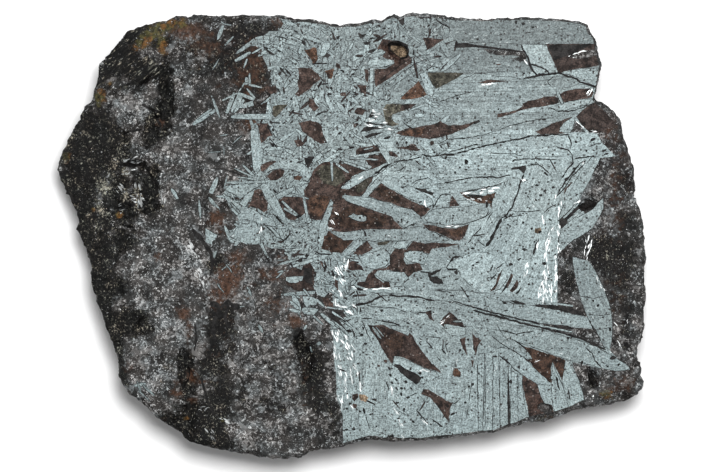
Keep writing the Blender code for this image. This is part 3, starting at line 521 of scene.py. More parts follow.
CENTRE = [
    window("brown", (1, 20), (1, 21.6), (1.9, 22.2), (4, 22.4), (5.6, 22.8), (6.8, 22.2), (6.9, 21),
        (5, 20.8), (2.5, 20.2), tone=0.8),
    window("brown", (1.8, 19.4), (3.5, 19), (4.6, 16.8), (6, 17.1), (8, 17.9), (8.9, 18.9), (8.3, 19.6),
        (7.3, 20.6), (5, 20), tone=0.9),
    window("brown", (-3.8, 18.3), (-1.5, 18.1), (1, 17.6), (3.8, 16.7), (2, 15.9), (0, 15), (-1.5, 16)),
    window("brown", (-2.1, 11.2), (0, 12.9), (2, 14.1), (4.2, 15.1), (5.4, 15), (5, 13.8), (4, 12.4),
        (3.2, 11.2), (2.6, 9.9), (0.5, 9.9), (-1.5, 10.4), tone=0.95),
    window("olive", (0.5, 12), (2.5, 13.8), (4.6, 14.6), (4.2, 13), (3, 11.4), (1.5, 11), tone=0.55),
    window("brown", (4, 10), (5.8, 11.8), (7.3, 13.3), (8.5, 12.5), (11.8, 10.6), (14.5, 9), (17.5, 7.7),
        (19.7, 6.9), (18.2, 5.3), (17.2, 4.8), (16.5, 5.6), (15, 6.7), (12.5, 7.3), (10, 8.2), (7.5, 8.9),
        (5.5, 9.6)),
    window("rust", (6, 11.6), (7.3, 12.8), (10, 11), (12.5, 9.2), (11, 8.2), (8, 9.4), tone=0.45),
    window("brown", (9.6, 20.1), (11.6, 19.9), (10.5, 21), (9.2, 21.4), tone=0.7),
    window("brown", (10.8, 22.3), (13.5, 22.4), (15, 23.2), (16, 23), (16.3, 22.1), (17.3, 21.6),
        (16.2, 21.2), (14, 21.7), (12, 22), tone=0.85),
    window("dark", (15.2, 12.1), (17, 11.3), (18.4, 10.9), (20.2, 10.1), (20.5, 11), (18.8, 11.4),
        (18.4, 12), (16.5, 12.3)),
    window("brown", (24.9, 10.3), (25.6, 9.6), (26.9, 7.6), (24.3, 7.5), (24.5, 8.6)),
    window("brown", (-4.7, 8.9), (-2.6, 9.4), (1, 8.1), (4, 7), (7.5, 5.8), (10, 5), (10.6, 4), (12, 2.5),
        (13.1, 1.8), (9, 1.6), (5, 1.8), (1.5, 1.5), (-2, 1), (-5, 1.4), (-6.1, 2.8), (-5.3, 4.6),
        (-4.8, 6.4)),
    window("rust", (-4, 5.5), (-1.5, 6.8), (0, 7.8), (4.5, 6), (8.5, 4.8), (9, 3), (5, 2.3), (-1, 2),
        (-5, 2.6), tone=0.42),
    window("rust", (-6.9, 0.2), (-4.5, 0.4), (-2.5, -0.9), (0.4, -0.8), (-1.2, -2.5), (-2.4, -4.1),
        (-4.5, -4), (-7.7, -3.1), tone=0.45),
    window("brown", (3.8, -1.1), (5.3, -3), (4.5, -3.7), (2.5, -4.6), (0.3, -4.4), (1.5, -2.8), tone=0.85),
    window("olive", (6.3, -1.5), (9.7, -1.2), (8.5, -2.1), (6.5, -2.3), tone=0.6),
    window("brown", (17.7, 3), (20.5, 2.7), (22.5, 2.2), (26, 2), (29.3, 3.1), (28.3, 0.3), (27.5, -0.8),
        (25.5, -1.1), (23.5, 0), (21, 1), (19.3, 1.5)),
    window("rust", (23.5, 1.4), (26, 1.6), (28.6, 2.4), (28, 0.8), (26.5, -0.3), (24.5, 0.4), tone=0.55),
    window("dark", (19, 0), (19.6, 0.4), (20.9, 0.1), (20.7, -1), (19.8, -1.2), (19, -0.7)),
    window("brown", (9.2, -5.2), (10.8, -3), (13.6, -3.2), (15.3, -1.2), (18, -1.8), (20, -1.5), (23, -1.7),
        (25.5, -1.8), (27.2, -2), (23, -2.7), (20, -3.1), (19.3, -4.3), (17.5, -3.8), (15.5, -3.7),
        (13.4, -4.2), (12.9, -5.8), (13.5, -7), (15.5, -6.7), (16.9, -6.6), (17.7, -8.4), (15.5, -9),
        (14, -10.3), (13, -9), (9, -8.4), (6.5, -8.6), (5.6, -9.5), (6.2, -10.4), (8, -11.7), (7.4, -12.9),
        (4, -13.1), (1.2, -12.2), (1.4, -11.4), (3.2, -11.2), (4, -9.5), (5.5, -8.3), (8.5, -7.8),
        (9.5, -7), tone=0.82),
    blade(0.95, 0, (-0.9, 5), (0.3, 5.6), (1.5, 5.3), (2.8, 5.3), (3.6, 4.8), (3.5, 3.9), (2, 3.8),
        (0.3, 4.3)),
    *each(lath, (0.5, 20, 7.1, 21.1, 0.5, 0.5, 0.4, 1.0), (3, 21.7, 5.2, 22.2, 0.2, 0.3, 0.2, 0.95),
        (-2.6, 19.4, 4.9, 17.3, 0.9, 0.9, 0.5, 1.0), (-2, 18.6, 4.4, 16.5, 0.4, 0.5, 0.3, 1.05),
        (-0.5, 19.6, 6.5, 19.2, 0.5, 0.4, 0.2, 0.95), (-4, 18.2, -0.8, 15.9, 0.4, 0.6, 0.3, 1.1)),
    blade(1.13, 32, (-2.6, 11.9), (-1.5, 13), (0, 14.3), (1.8, 15.7), (3.2, 16.4), (5, 16.8), (7, 17.6),
        (8.8, 18.5), (8.4, 17), (6, 15.3), (5, 15.1), (3.5, 14.4), (1.5, 13.1), (-0.8, 11.9)),
    blade(1.05, 50, (2.2, 9.8), (3.5, 11.5), (5.2, 13.3), (6.8, 14.9), (8.7, 15.5), (8.2, 14), (6.5, 12.8),
        (5, 11.3), (4, 9.9)),
    blade(1.12, -33, (7.2, 13.5), (8.5, 15.2), (11, 14.6), (13, 13.2), (15, 12.4), (17.5, 11), (19.9, 9.3),
        (20.4, 8), (18.5, 7.3), (16, 8.8), (13, 10.2), (10, 12)),
    blade(1.15, -55, (6.7, 22.2), (8, 22.3), (9.2, 20.8), (9.9, 18.6), (9.2, 18.1), (8, 20), (7, 21)),
    blade(1.05, 20, (15, 12.3), (16.5, 13.6), (19, 14.4), (20.6, 13), (19.5, 12.1), (18, 11.9)),
    blade(0.93, -20, (-2.5, 10), (-1.8, 10.4), (0.2, 10), (3, 9.9), (6, 9.2), (9, 8.3), (12.5, 7.2),
        (15, 6.7), (16.8, 5.3), (17.6, 4.2), (15, 3), (13, 2.2), (11, 3.8), (10, 5), (7, 6), (4, 7), (1, 8),
        (-1.5, 9)),
    blade(0.96, -3, (-5.4, 1), (-4.5, 1.4), (-2, 1), (2, 1.6), (5, 1.8), (9, 1.7), (13, 1.9), (17, 2.4),
        (19, 1.6), (21, 0.7), (24.2, -0.8), (22, -1.3), (18, -1), (15, -1.1), (9, -1), (5, -1.1), (2, -0.9),
        (-2, -0.9), (-4, 0.2)),
    blade(0.99, 8, (18.2, 4.5), (19, 5.8), (20.2, 6.6), (23, 7.1), (26, 7.2), (29, 7.3), (33.5, 8.6),
        (34.5, 7.5), (33.5, 5.2), (31, 4), (28, 3.1), (25, 2.5), (22, 3.2), (19, 3.6)),
    lath(-2, -4.7, 2.4, -1, 0.8, 1.5, 1.5, 1.02),
    blade(1.18, 5, (10.3, -2.6), (11.5, -1.3), (14.8, -1.1), (13.5, -2.8), (11.8, -3.1)),
    blade(1.06, 5, (13.1, -4.2), (14.5, -3.6), (17, -3.8), (19, -4.6), (18, -7), (16, -6.5), (14.2, -6.2),
        (13.4, -5.4)),
    blade(1.16, -25, (3, -7.3), (1.8, -5.2), (5, -4), (8, -3.1), (9.4, -4.5), (9.4, -6.3), (8, -7.6),
        (5.5, -8.2)),
    *each(crack, (0.5, (4.9, 15.2), (6.5, 16.2), (8.4, 17.5), (10, 18.2)),
        (0.3, (10, 18.2), (12, 18.9), (14.5, 19.1), (17.5, 19.9)),
        (0.35, (17.3, 20.6), (18.6, 20), (20.5, 20.1), (23.5, 20.4), (26, 20.7)),
        (0.25, (24, 21), (27, 21.8), (31, 23), (32.5, 22.7)),
        (0.3, (14.8, 13.3), (16, 13.9), (17.5, 14.4), (19, 14.7), (19.8, 14)),
        (0.28, (20.8, 12.9), (24, 13.5), (28, 14.3), (31, 14.8), (34, 14.9), (36.5, 14.7), (39.7, 15.4)),
        (0.3, (14, 13), (13, 12.2), (12.3, 12.5)), (0.25, (10.3, 16), (12, 16.6), (13.5, 17.6)),
        (0.25, (20, 6.8), (22.3, 10.4), (24.8, 10.5)), (0.25, (20.8, 1), (22, 0.3), (23.8, 0)),
        (0.5, (23.5, -7.9), (24.4, -6.7), (25.4, -5.3), (27.2, -4.8))),
    *each(painted_glint, (18.1, 9.2, 18.3, 7.8, 0.7), (-5.5, 4.4, -4.7, 3.4, 0.4, 0.7),
        (-6, 2.2, -5.2, 2.1, 0.4, 0.7), (-4.1, 6, -3.7, 5.4, 0.4, 0.6), (1.4, 14.2, 2.8, 14.9, 0.4, 0.8),
        (22.8, 2.5, 26.5, 2.6, 0.5, 0.7)),
    *each(pit, (3.3, 0.7, 0.3, 0.8, 20, "dark", 0.8), (5.6, 1.4, 0.4, 0.25), (2, 4.7, 0.3, 0.25),
        (15.1, 2.9, 0.5, 0.2, -20), (12.4, 4.2, 0.25, 0.4), (13.8, 3.5, 0.25, 0.25),
        (11.6, 3.6, 0.35, 0.25), (25.3, 5.2, 0.3, 0.25), (16.8, 16.7, 0.3, 0.3), (12.9, 15, 0.3, 0.2),
        (14.8, 14.6, 0.35, 0.2), (14.7, 20.5, 0.25, 0.25), (12.6, 12.2, 0.35, 0.25),
        (13.6, 23.5, 0.3, 0.35), (11.3, 23.3, 0.35, 0.3, 40), (8.8, 24.6, 0.9, 0.3, 10),
        (22.3, 22.4, 0.4, 0.25, -60), (20.6, 21, 0.3, 0.25), (23.5, 19.7, 0.4, 0.3),
        (25.8, 15.9, 0.3, 0.3), (6.6, -4.6, 0.5, 0.2, 30), (8.7, -6, 0.4, 0.2, -50), (17, -6, 0.35, 0.25),
        (25.4, -4.2, 0.3, 0.2), (17.1, 8.6, 0.5, 0.2, 20), (20.3, 7.7, 0.4, 0.2, -60),
        (-6.5, 23.5, 0.3, 0.25), (-3, 21.8, 0.6, 0.25, -20)),
]

RIGHT = [
    window("rust", (26.9, 11), (28, 11.2), (28.4, 10.1), (30.5, 10), (33.5, 10.2), (36.1, 11.1), (35.2, 9),
        (34.8, 6.8), (34.3, 8.2), (31.5, 8.4), (29.5, 9.1), (28.2, 9.7), tone=0.6),
    window("dark", (28.2, 10.3), (30, 9.9), (32.6, 9.8), (33, 10.2), (30.5, 10.5), (29, 10.6)),
    *each(painted_glint, (28.1, 10.6, 33, 11, 0.6, 0.9), (31.5, 11.2, 36.7, 11.9, 0.9, 0.95),
        (29, 9.2, 33.6, 9.1, 0.4, 0.6)),
    window("dark", (39.6, 16.9), (41, 17.4), (43.3, 17.8), (43.6, 16.9), (43, 15.7), (42.2, 16.4),
        (41.5, 16.8), (40, 16.6)),
    window("dark", (56.3, 7.1), (57.6, 8.4), (59.4, 9.4), (61.1, 8.4), (60.8, 7), (59, 6.5), (57.5, 6.2)),
    window("dark", (51.7, 4), (53, 5.2), (56.6, 8.4), (57.4, 7.4), (55.2, 5.4), (53.9, 4), (53.1, 1.4),
        (52.1, 2)),
    blade(0.99, 60, (62, 19.6), (60, 19.8), (58.2, 17.6), (56, 14), (54, 10), (52, 5.6), (51.8, 4.2),
        (53.5, 5.8), (55.8, 8.2), (57.3, 10.5), (59, 13.2), (60.3, 16)),
    *each(lath, (52.9, 4.6, 56.8, 8.3, 0.3, 0.5, 0.3, 1.0), (54, 3.9, 57.2, 6.4, 0.4, 0.6, 0.3, 0.95)),
    blade(0.99, 35, (52.4, 1.8), (54, 3.4), (57, 5), (60, 6.6), (62, 8.8), (62.8, 9.6), (62.9, 7),
        (61.5, 4.5), (60, 2), (57, 0), (54.5, -1.4), (52.5, -3.6), (51.7, -4.6), (51.9, 0)),
    window("brown", (52.9, 10.2), (53.8, 12), (55.4, 13.7), (54.4, 13.2), (53.2, 11.9)),
    *each(crack,
        (0.38, (43, 15.6), (42.2, 13.9), (41.7, 12), (41, 9.8), (39.9, 7.3), (38.8, 5.6), (37.5, 4.6)),
        (0.75, (37.5, 4.6), (36.6, 3.1), (35.6, 0.8), (34.7, -1), (33.5, -2.7)),
        (0.28, (43.8, 17.6), (46.3, 18.1), (47.8, 17.2), (49.8, 15.3)),
        (0.25, (40, 19), (43, 19.3), (47, 19.4), (51.2, 19.2)),
        (0.2, (34.3, 20.8), (37, 20.7), (40, 20.7), (43, 20)),
        (0.35, (51, 22.4), (52.5, 22), (54, 21.7), (54.9, 20.5), (55.2, 18.3), (53.8, 16.9), (52.4, 14.4)),
        (0.4, (51.5, 10.8), (53, 13.3), (55.5, 16.3), (57.3, 18.4), (58.5, 18.9)),
        (0.3, (55.3, 19.3), (57, 19.6), (59.5, 19.9), (62, 20.1)),
        (0.3, (50.8, 9.7), (52.5, 11.3), (54.8, 14.8), (58, 18)),
        (0.35, (59, 22.4), (61, 23), (62.5, 23.4)), (0.35, (54, 25.4), (54.8, 23.4), (54.6, 21.8)),
        (0.35, (28, 11.3), (31, 11.7), (34, 12.3), (36.9, 12.9)),
        (0.2, (36.9, 13), (38, 13.7), (38.5, 12.2)), (0.2, (38.4, 12.6), (39, 14.4)),
        (0.25, (24, 2.7), (28, 3.2), (31, 4), (33.5, 4.9), (35.2, 6.4)), (0.3, (33.6, 3.7), (35.3, 6.2)),
        (0.18, (35.5, 4.8), (39, 4.9), (43, 5.2)),
        (0.25, (28.8, -2), (30.3, 0.2), (31.8, 1.6), (32.3, 2.6)),
        (0.2, (40, 6.3), (44, 6.2), (47.5, 6.6)), (0.25, (48, 5.9), (49.5, 7.3), (51.3, 8.2)),
        (0.45, (46.8, -0.4), (46, -2.2), (45.3, -4.6)), (0.3, (31.6, -1.1), (33.4, -2.6))),
    *each(painted_glint, (42.6, 14.5, 43.1, 13.2, 0.9), (47.3, 4.9, 47.7, 2.6, 0.9),
        (46.7, -1.1, 46.2, -3.3, 0.4, 0.8), (52.1, 8.6, 51.4, 4.4, 0.6), (51.9, 3.2, 51.8, -4.2, 0.6),
        (50.1, 2.1, 49.6, 0.4, 0.5), (49.6, 1.2, 48.9, -3.4, 0.8), (48.8, -2, 48.2, -7.3, 1.0),
        (55.3, 8, 57, 8.9, 0.7), (51, 10.5, 50.9, 9.8, 0.5), (48.4, -7, 48.1, -12, 1.2),
        (48.3, -9.5, 48.3, -16.2, 1.0), (49.2, -10.5, 49.8, -16.3, 0.8), (47.4, -11.5, 46.8, -15.8, 1.0),
        (51, -4.6, 50.9, -16.2, 0.8), (44.1, -6.3, 43.2, -10.2, 0.8), (47.6, -14, 47.9, -16, 0.7),
        (58.3, 18.6, 57, 17.6, 0.5, 0.7), (59.3, 0.8, 58.2, -4, 0.8, 0.8), (60, -1, 59.2, -5, 0.6, 0.75),
        (59.4, -2.6, 58.6, -5.8, 0.5, 0.7)),
    window("tan", (45.8, 2), (47.2, 2.2), (47.4, 1.2), (46.4, 0.6), (45.7, 1), tone=0.7),
    *each(pit, (48.1, -6.8, 0.5, 0.5), (28.6, 18.6, 0.5, 0.7, 20), (25.8, 16, 0.3, 0.35),
        (28.5, 16.7, 0.3, 0.25), (43, -3.2, 0.45, 0.4), (43.9, 7.3, 0.3, 0.2), (38.4, 5.2, 0.3, 0.5, 30),
        (49.5, 4.2, 0.4, 0.25, -30), (42.5, 21.6, 0.25, 0.3), (50.2, 20.5, 0.35, 0.3),
        (41.6, -5.9, 0.4, 0.2, -30), (46, 9.1, 0.35, 0.25), (44, 9.9, 0.3, 0.2), (47.2, 10.3, 0.5, 0.35),
        (48.2, 11.4, 0.5, 0.3, 40), (46.3, 12.8, 0.4, 0.25), (43.4, 10.8, 0.3, 0.25),
        (48.5, 15.6, 0.6, 0.3, -40), (50.3, 12.2, 0.45, 0.3), (49, 13.6, 0.4, 0.2),
        (39.1, 2.9, 0.35, 0.2, -30), (42.8, 3.5, 0.3, 0.3), (45.6, -1.4, 0.3, 0.25),
        (38.5, -1.2, 0.3, 0.2), (44.9, 1.9, 0.3, 0.3), (47, 1.1, 0.5, 0.3, 30), (37.3, 0.5, 0.3, 0.2),
        (30.2, -3, 0.5, 0.25), (35, 3.5, 0.25, 0.25), (58.6, 21.4, 0.25, 0.35),
        (60.2, 24.2, 0.7, 0.4, 30), (63, 21.5, 0.8, 0.25, 20), (63.6, 20.6, 0.6, 0.25, 15),
        (56, 23.6, 0.4, 0.3), (60.4, -5.6, 0.4, 0.3), (58.7, 4.6, 0.3, 0.25), (50.8, -4.5, 0.3, 0.2),
        (45.8, -6.8, 0.3, 0.25), (33.7, 8, 0.3, 0.9, 0), (56.2, 10.4, 0.5, 0.2, 30),
        (53.5, 14.4, 0.5, 0.25, 45), (55.6, 17, 0.5, 0.3, 45), (27, 17.2, 0.3, 0.2),
        (40.4, 18.9, 0.4, 0.2, 30)),
]

LOWER_RIGHT = [
    rock((51.3, -4.4), (53, -3.1), (54.6, -1.7), (57.6, -0.2), (58.3, -3), (55.2, -5), (55.3, -8),
        (56.3, -12), (57.5, -16), (58.4, -19.8), (56, -19.3), (51.4, -17.6), (51.3, -15), (51.4, -10)),
    rock((55.5, -31.4), (58, -32.2), (62, -33.2), (68, -34), (74, -34), (74, -46), (58.3, -43.5),
        (58, -41.3), (57.4, -38.5), (56.4, -35.5)),
    blade(1.12, 50, (23.7, -7.8), (24.6, -6.5), (27.2, -5), (31, -4), (34, -4), (38, -6), (40, -9),
        (37, -13), (34.5, -14.1), (32.5, -14), (30, -12.6), (27.2, -9.9), (26.6, -8.4)),
    blade(0.94, -10, (33, -15), (40, -16.8), (46, -17.5), (50, -18), (55, -19.3), (58.6, -20.1),
        (59.9, -21.4), (60.4, -23.1), (56, -22.8), (50, -22), (45, -21.4), (40, -20), (34, -18.6)),
    rock((47.5, -21.9), (52, -22.2), (56, -22.8), (60.3, -23.1), (61.5, -25.4), (63.2, -27.8), (58, -26),
        (53, -24.4), (49.5, -23.2)),
    window("dark", (50, -22.1), (54, -22.3), (55.5, -23.2), (53, -23.2), (50.5, -22.7)),
    lath(44.5, -21.8, 55, -23.9, 0.3, 0.4, 0.2, 1.0),
    blade(0.98, -18, (36, -21.6), (43, -22.6), (50, -24), (56, -25.8), (61, -27.6), (65, -29.9),
        (68.6, -32), (69.5, -33.3), (66, -33.6), (62, -32.9), (58, -31.6), (54, -30.8), (50, -29.4),
        (46, -27.9), (42, -26.5), (38, -25)),
    blade(0.94, -72, (55.2, -5.1), (56.8, -5.6), (58.9, -6), (60.2, -7.6), (62, -11), (63.5, -14.5),
        (64.6, -18), (65.1, -22), (64.9, -26), (64.5, -28.4), (63, -27.6), (61.3, -24), (59, -20.5),
        (57.5, -16.5), (56.3, -12), (55.4, -8)),
    window("rust", (42.6, -27.4), (45, -28), (48, -29), (50.5, -29.8), (53.2, -30.8), (53.5, -32.2),
        (52.8, -34), (52.6, -36.3), (51.8, -34.6), (50.8, -32.6), (50.1, -31.3), (49.7, -33), (49.9, -36.7),
        (48, -35.3), (46, -33.6), (44.5, -31.6), (43.3, -30.8), (45.2, -30.6), (44, -29), tone=0.5),
    window("brown", (42.6, -34.6), (44, -35.3), (46.4, -37), (47.1, -39.5), (48.1, -41.6), (50.1, -42.3),
        (50.5, -44.4), (52, -46), (47.5, -47.5), (44.5, -48), (43.9, -43), (42.8, -38), tone=0.9),
    window("brown", (30, -24.2), (31, -25.2), (32.3, -26), (31.5, -27.5), (31, -29.7), (30.3, -28),
        (30.3, -26)),
    window("brown", (26.8, -25.7), (28.5, -25.2), (28.3, -27), (28.9, -29.8), (27.8, -28.2)),
    window("brown", (29.7, -30.9), (30.5, -30.9), (30.2, -32.7), (30, -32)),
    window("rust", (25.5, -32.9), (26.4, -33), (27.2, -34), (27.1, -35.2), (25.6, -35),
        (25.1, -34.4), tone=0.7),
    window("brown", (21.9, -21.5), (22.8, -20.2), (24.4, -18.9), (25.5, -19.6), (26.6, -20.8),
        (27.7, -21.6), (28.1, -22.8), (26, -22.4), (24, -22), (22.8, -22.6), tone=0.8),
    lath(25.2, -21.2, 27.3, -21.2, 0.1, 0.4, 0.3, 1.05),
    painted_glint(22.2, -21.9, 24.1, -19.9, 0.8, 0.95),
    blade(1.15, -10, (23, -22), (25, -22.2), (28.4, -22.9), (28.4, -24.4), (26.5, -25), (24.5, -24.5),
        (23.4, -23.4)),
    blade(1.0, -38, (35, -28.4), (38, -27.8), (41, -29), (43, -30.5), (46, -33.4), (50, -37), (50.2, -38.5),
        (46.5, -37), (43, -34.8), (40, -32.5)),
    blade(1.04, -75, (46.4, -37), (50, -37.3), (50.2, -42.2), (48.1, -41.6), (47.1, -39.5)),
    blade(1.05, -80, (50.1, -31.6), (50.8, -33.5), (52, -36), (53, -38.5), (54.4, -43.3), (51.2, -46),
        (50.3, -42), (49.9, -37)),
    blade(1.0, -75, (53.4, -31), (55, -32), (56.5, -35.5), (57.5, -38.5), (58.2, -41.4), (58, -45),
        (54.8, -45), (53.5, -40), (52.6, -36.3)),
    blade(1.06, 90, (31.5, -29.5), (33, -29.3), (32.6, -50), (31.6, -50)),
    blade(1.0, 90, (33.2, -29.3), (36.6, -28.8), (37, -50), (32.8, -50)),
    blade(0.96, 90, (37, -29.8), (39, -32), (39, -50), (37.1, -50)),
    blade(1.0, 88, (39.9, -32.7), (42.4, -34.8), (42.8, -40), (44.2, -48), (39.6, -50)),
    blade(1.07, 80, (28, -50), (30.5, -33.5), (31.2, -30), (31.5, -50)),
    window("dark", (38.9, -34), (39.3, -36), (39.5, -41), (39.5, -46.8), (39, -47), (38.8, -41)),
    window("brown", (37.9, -8), (36.6, -9.5), (35.8, -12), (34.4, -13.8), (35.6, -13.5), (36.4, -12),
        (37.2, -9.6)),
    window("brown", (38.1, -12.6), (39.8, -9.4), (40.3, -9.6), (39.7, -11.6), (38.8, -13)),
    window("brown", (39.4, -13.6), (41.3, -10.9), (41.7, -11.6), (41.2, -13.2), (40, -14)),
    *each(crack, (0.5, (37, -14.5), (38, -13.4), (38.9, -12)), (0.5, (41.1, -14.5), (42.2, -12.8)),
        (0.3, (34.3, -8.9), (35.3, -7)), (0.3, (34.5, -11.1), (36.2, -9.2)),
        (0.3, (36, -8.2), (38, -6.6)), (0.6, (39.6, -16.1), (41.5, -16.5), (43.5, -16.9)),
        (0.8, (37.5, -16.2), (38.8, -16.9))),
    window("dark", (45.8, -17), (50, -17.1), (54.9, -17.9), (57.6, -18.9), (58.4, -20), (55, -19.4),
        (51.5, -18.5), (48, -17.9), (45.9, -17.5)),
    lath(49.8, -16.6, 55.2, -17.4, 0.2, 0.4, 0.3, 1.05),
    *each(crack, (0.35, (25, -16), (29, -17.3), (33, -18.4), (36, -19.3), (41, -20.5), (47, -21.8)),
        (0.5, (30, -18.4), (34, -19.5), (38, -20.4), (43, -21.8), (49, -23.2), (53, -24.3), (58, -25.9),
         (63.5, -28.3)), (0.25, (37, -23.5), (41, -24.4), (45.5, -23.7)),
        (0.25, (40, -25.6), (42, -27), (44, -28.6)),
        (0.3, (58.4, -27.7), (60, -29.3), (60.7, -31), (62.4, -32.8)),
        (0.3, (36.7, -29.6), (40.2, -32.4)), (0.2, (35, -25), (38, -27.3), (41.5, -29.3), (44, -31)),
        (0.4, (51, -35), (51.8, -38.4)), (0.3, (53.8, -37.6), (54.5, -41)),
        (0.25, (59, -20.6), (60.3, -23), (62.2, -26)), (0.15, (33.4, -30), (33.3, -48)),
        (0.15, (35.3, -29.5), (35.2, -48.5)), (0.15, (41.4, -34), (41.5, -47.5)),
        (0.15, (57, -15), (60, -15.4), (63, -15)), (0.15, (58.5, -19.5), (62, -19.8), (64.8, -19.4)),
        (0.15, (60.6, -23.4), (65, -22.8)), (0.15, (57.2, -8.6), (59.5, -8))),
    *each(painted_glint, (60.5, -9, 63, -13.5, 0.5, 0.7), (66, -21.5, 66.5, -22.3, 0.7, 0.6),
        (69.4, -19.8, 68.8, -21.6, 0.4, 0.7), (66.6, -26.5, 67.5, -28.5, 0.4, 0.7),
        (60.4, -39.7, 60.6, -40.7, 0.7, 0.8), (46.3, -31.3, 46.9, -31.1, 0.4, 0.6)),
    *each(pit, (60.3, -16.1, 0.35, 0.3), (61.5, -17.3, 0.4, 0.3, 40), (62.8, -20.2, 0.4, 0.2, 20),
        (54, -25.4, 0.45, 0.3), (64.5, -23.3, 0.3, 0.6), (63.9, -32.5, 0.35, 0.3),
        (66.6, -32.1, 0.3, 0.3), (61.7, -28.9, 0.3, 0.25), (41.7, -32.7, 0.35, 0.4),
        (35.8, -30, 0.5, 0.25), (31.7, -34.3, 0.3, 0.35), (41.4, -37.8, 0.3, 0.35),
        (39.7, -36.3, 0.4, 0.5), (42.3, -30, 0.3, 0.2), (47.7, -23.4, 0.25, 0.2),
        (33.8, -20.8, 0.35, 0.3), (30.3, -7.2, 0.3, 0.25), (31.3, -6.5, 0.4, 0.3), (39.7, -7, 0.6, 0.4),
        (42, -5.6, 0.4, 0.25, 40), (44.2, -12, 0.3, 0.3), (49.4, -9.7, 0.25, 0.2), (26, -9, 0.5, 0.6),
        (26.2, -10.7, 0.5, 0.2, 15), (29, -25.8, 0.3, 0.3), (27, -28.4, 0.3, 0.3), (25, -14.8, 0.6, 0.2),
        (29, -14.9, 0.4, 0.2), (27, -20.9, 0.3, 0.2), (38.5, -18.5, 0.5, 0.2),
        (60.4, -41.6, 0.6, 0.3, 20, "olive", 0.8), (63.5, -39.2, 1.2, 0.9, 0, "olive", 0.8),
        (65.2, -30.4, 0.8, 0.5, 10), (57.5, -31.5, 0.4, 0.5)),
]

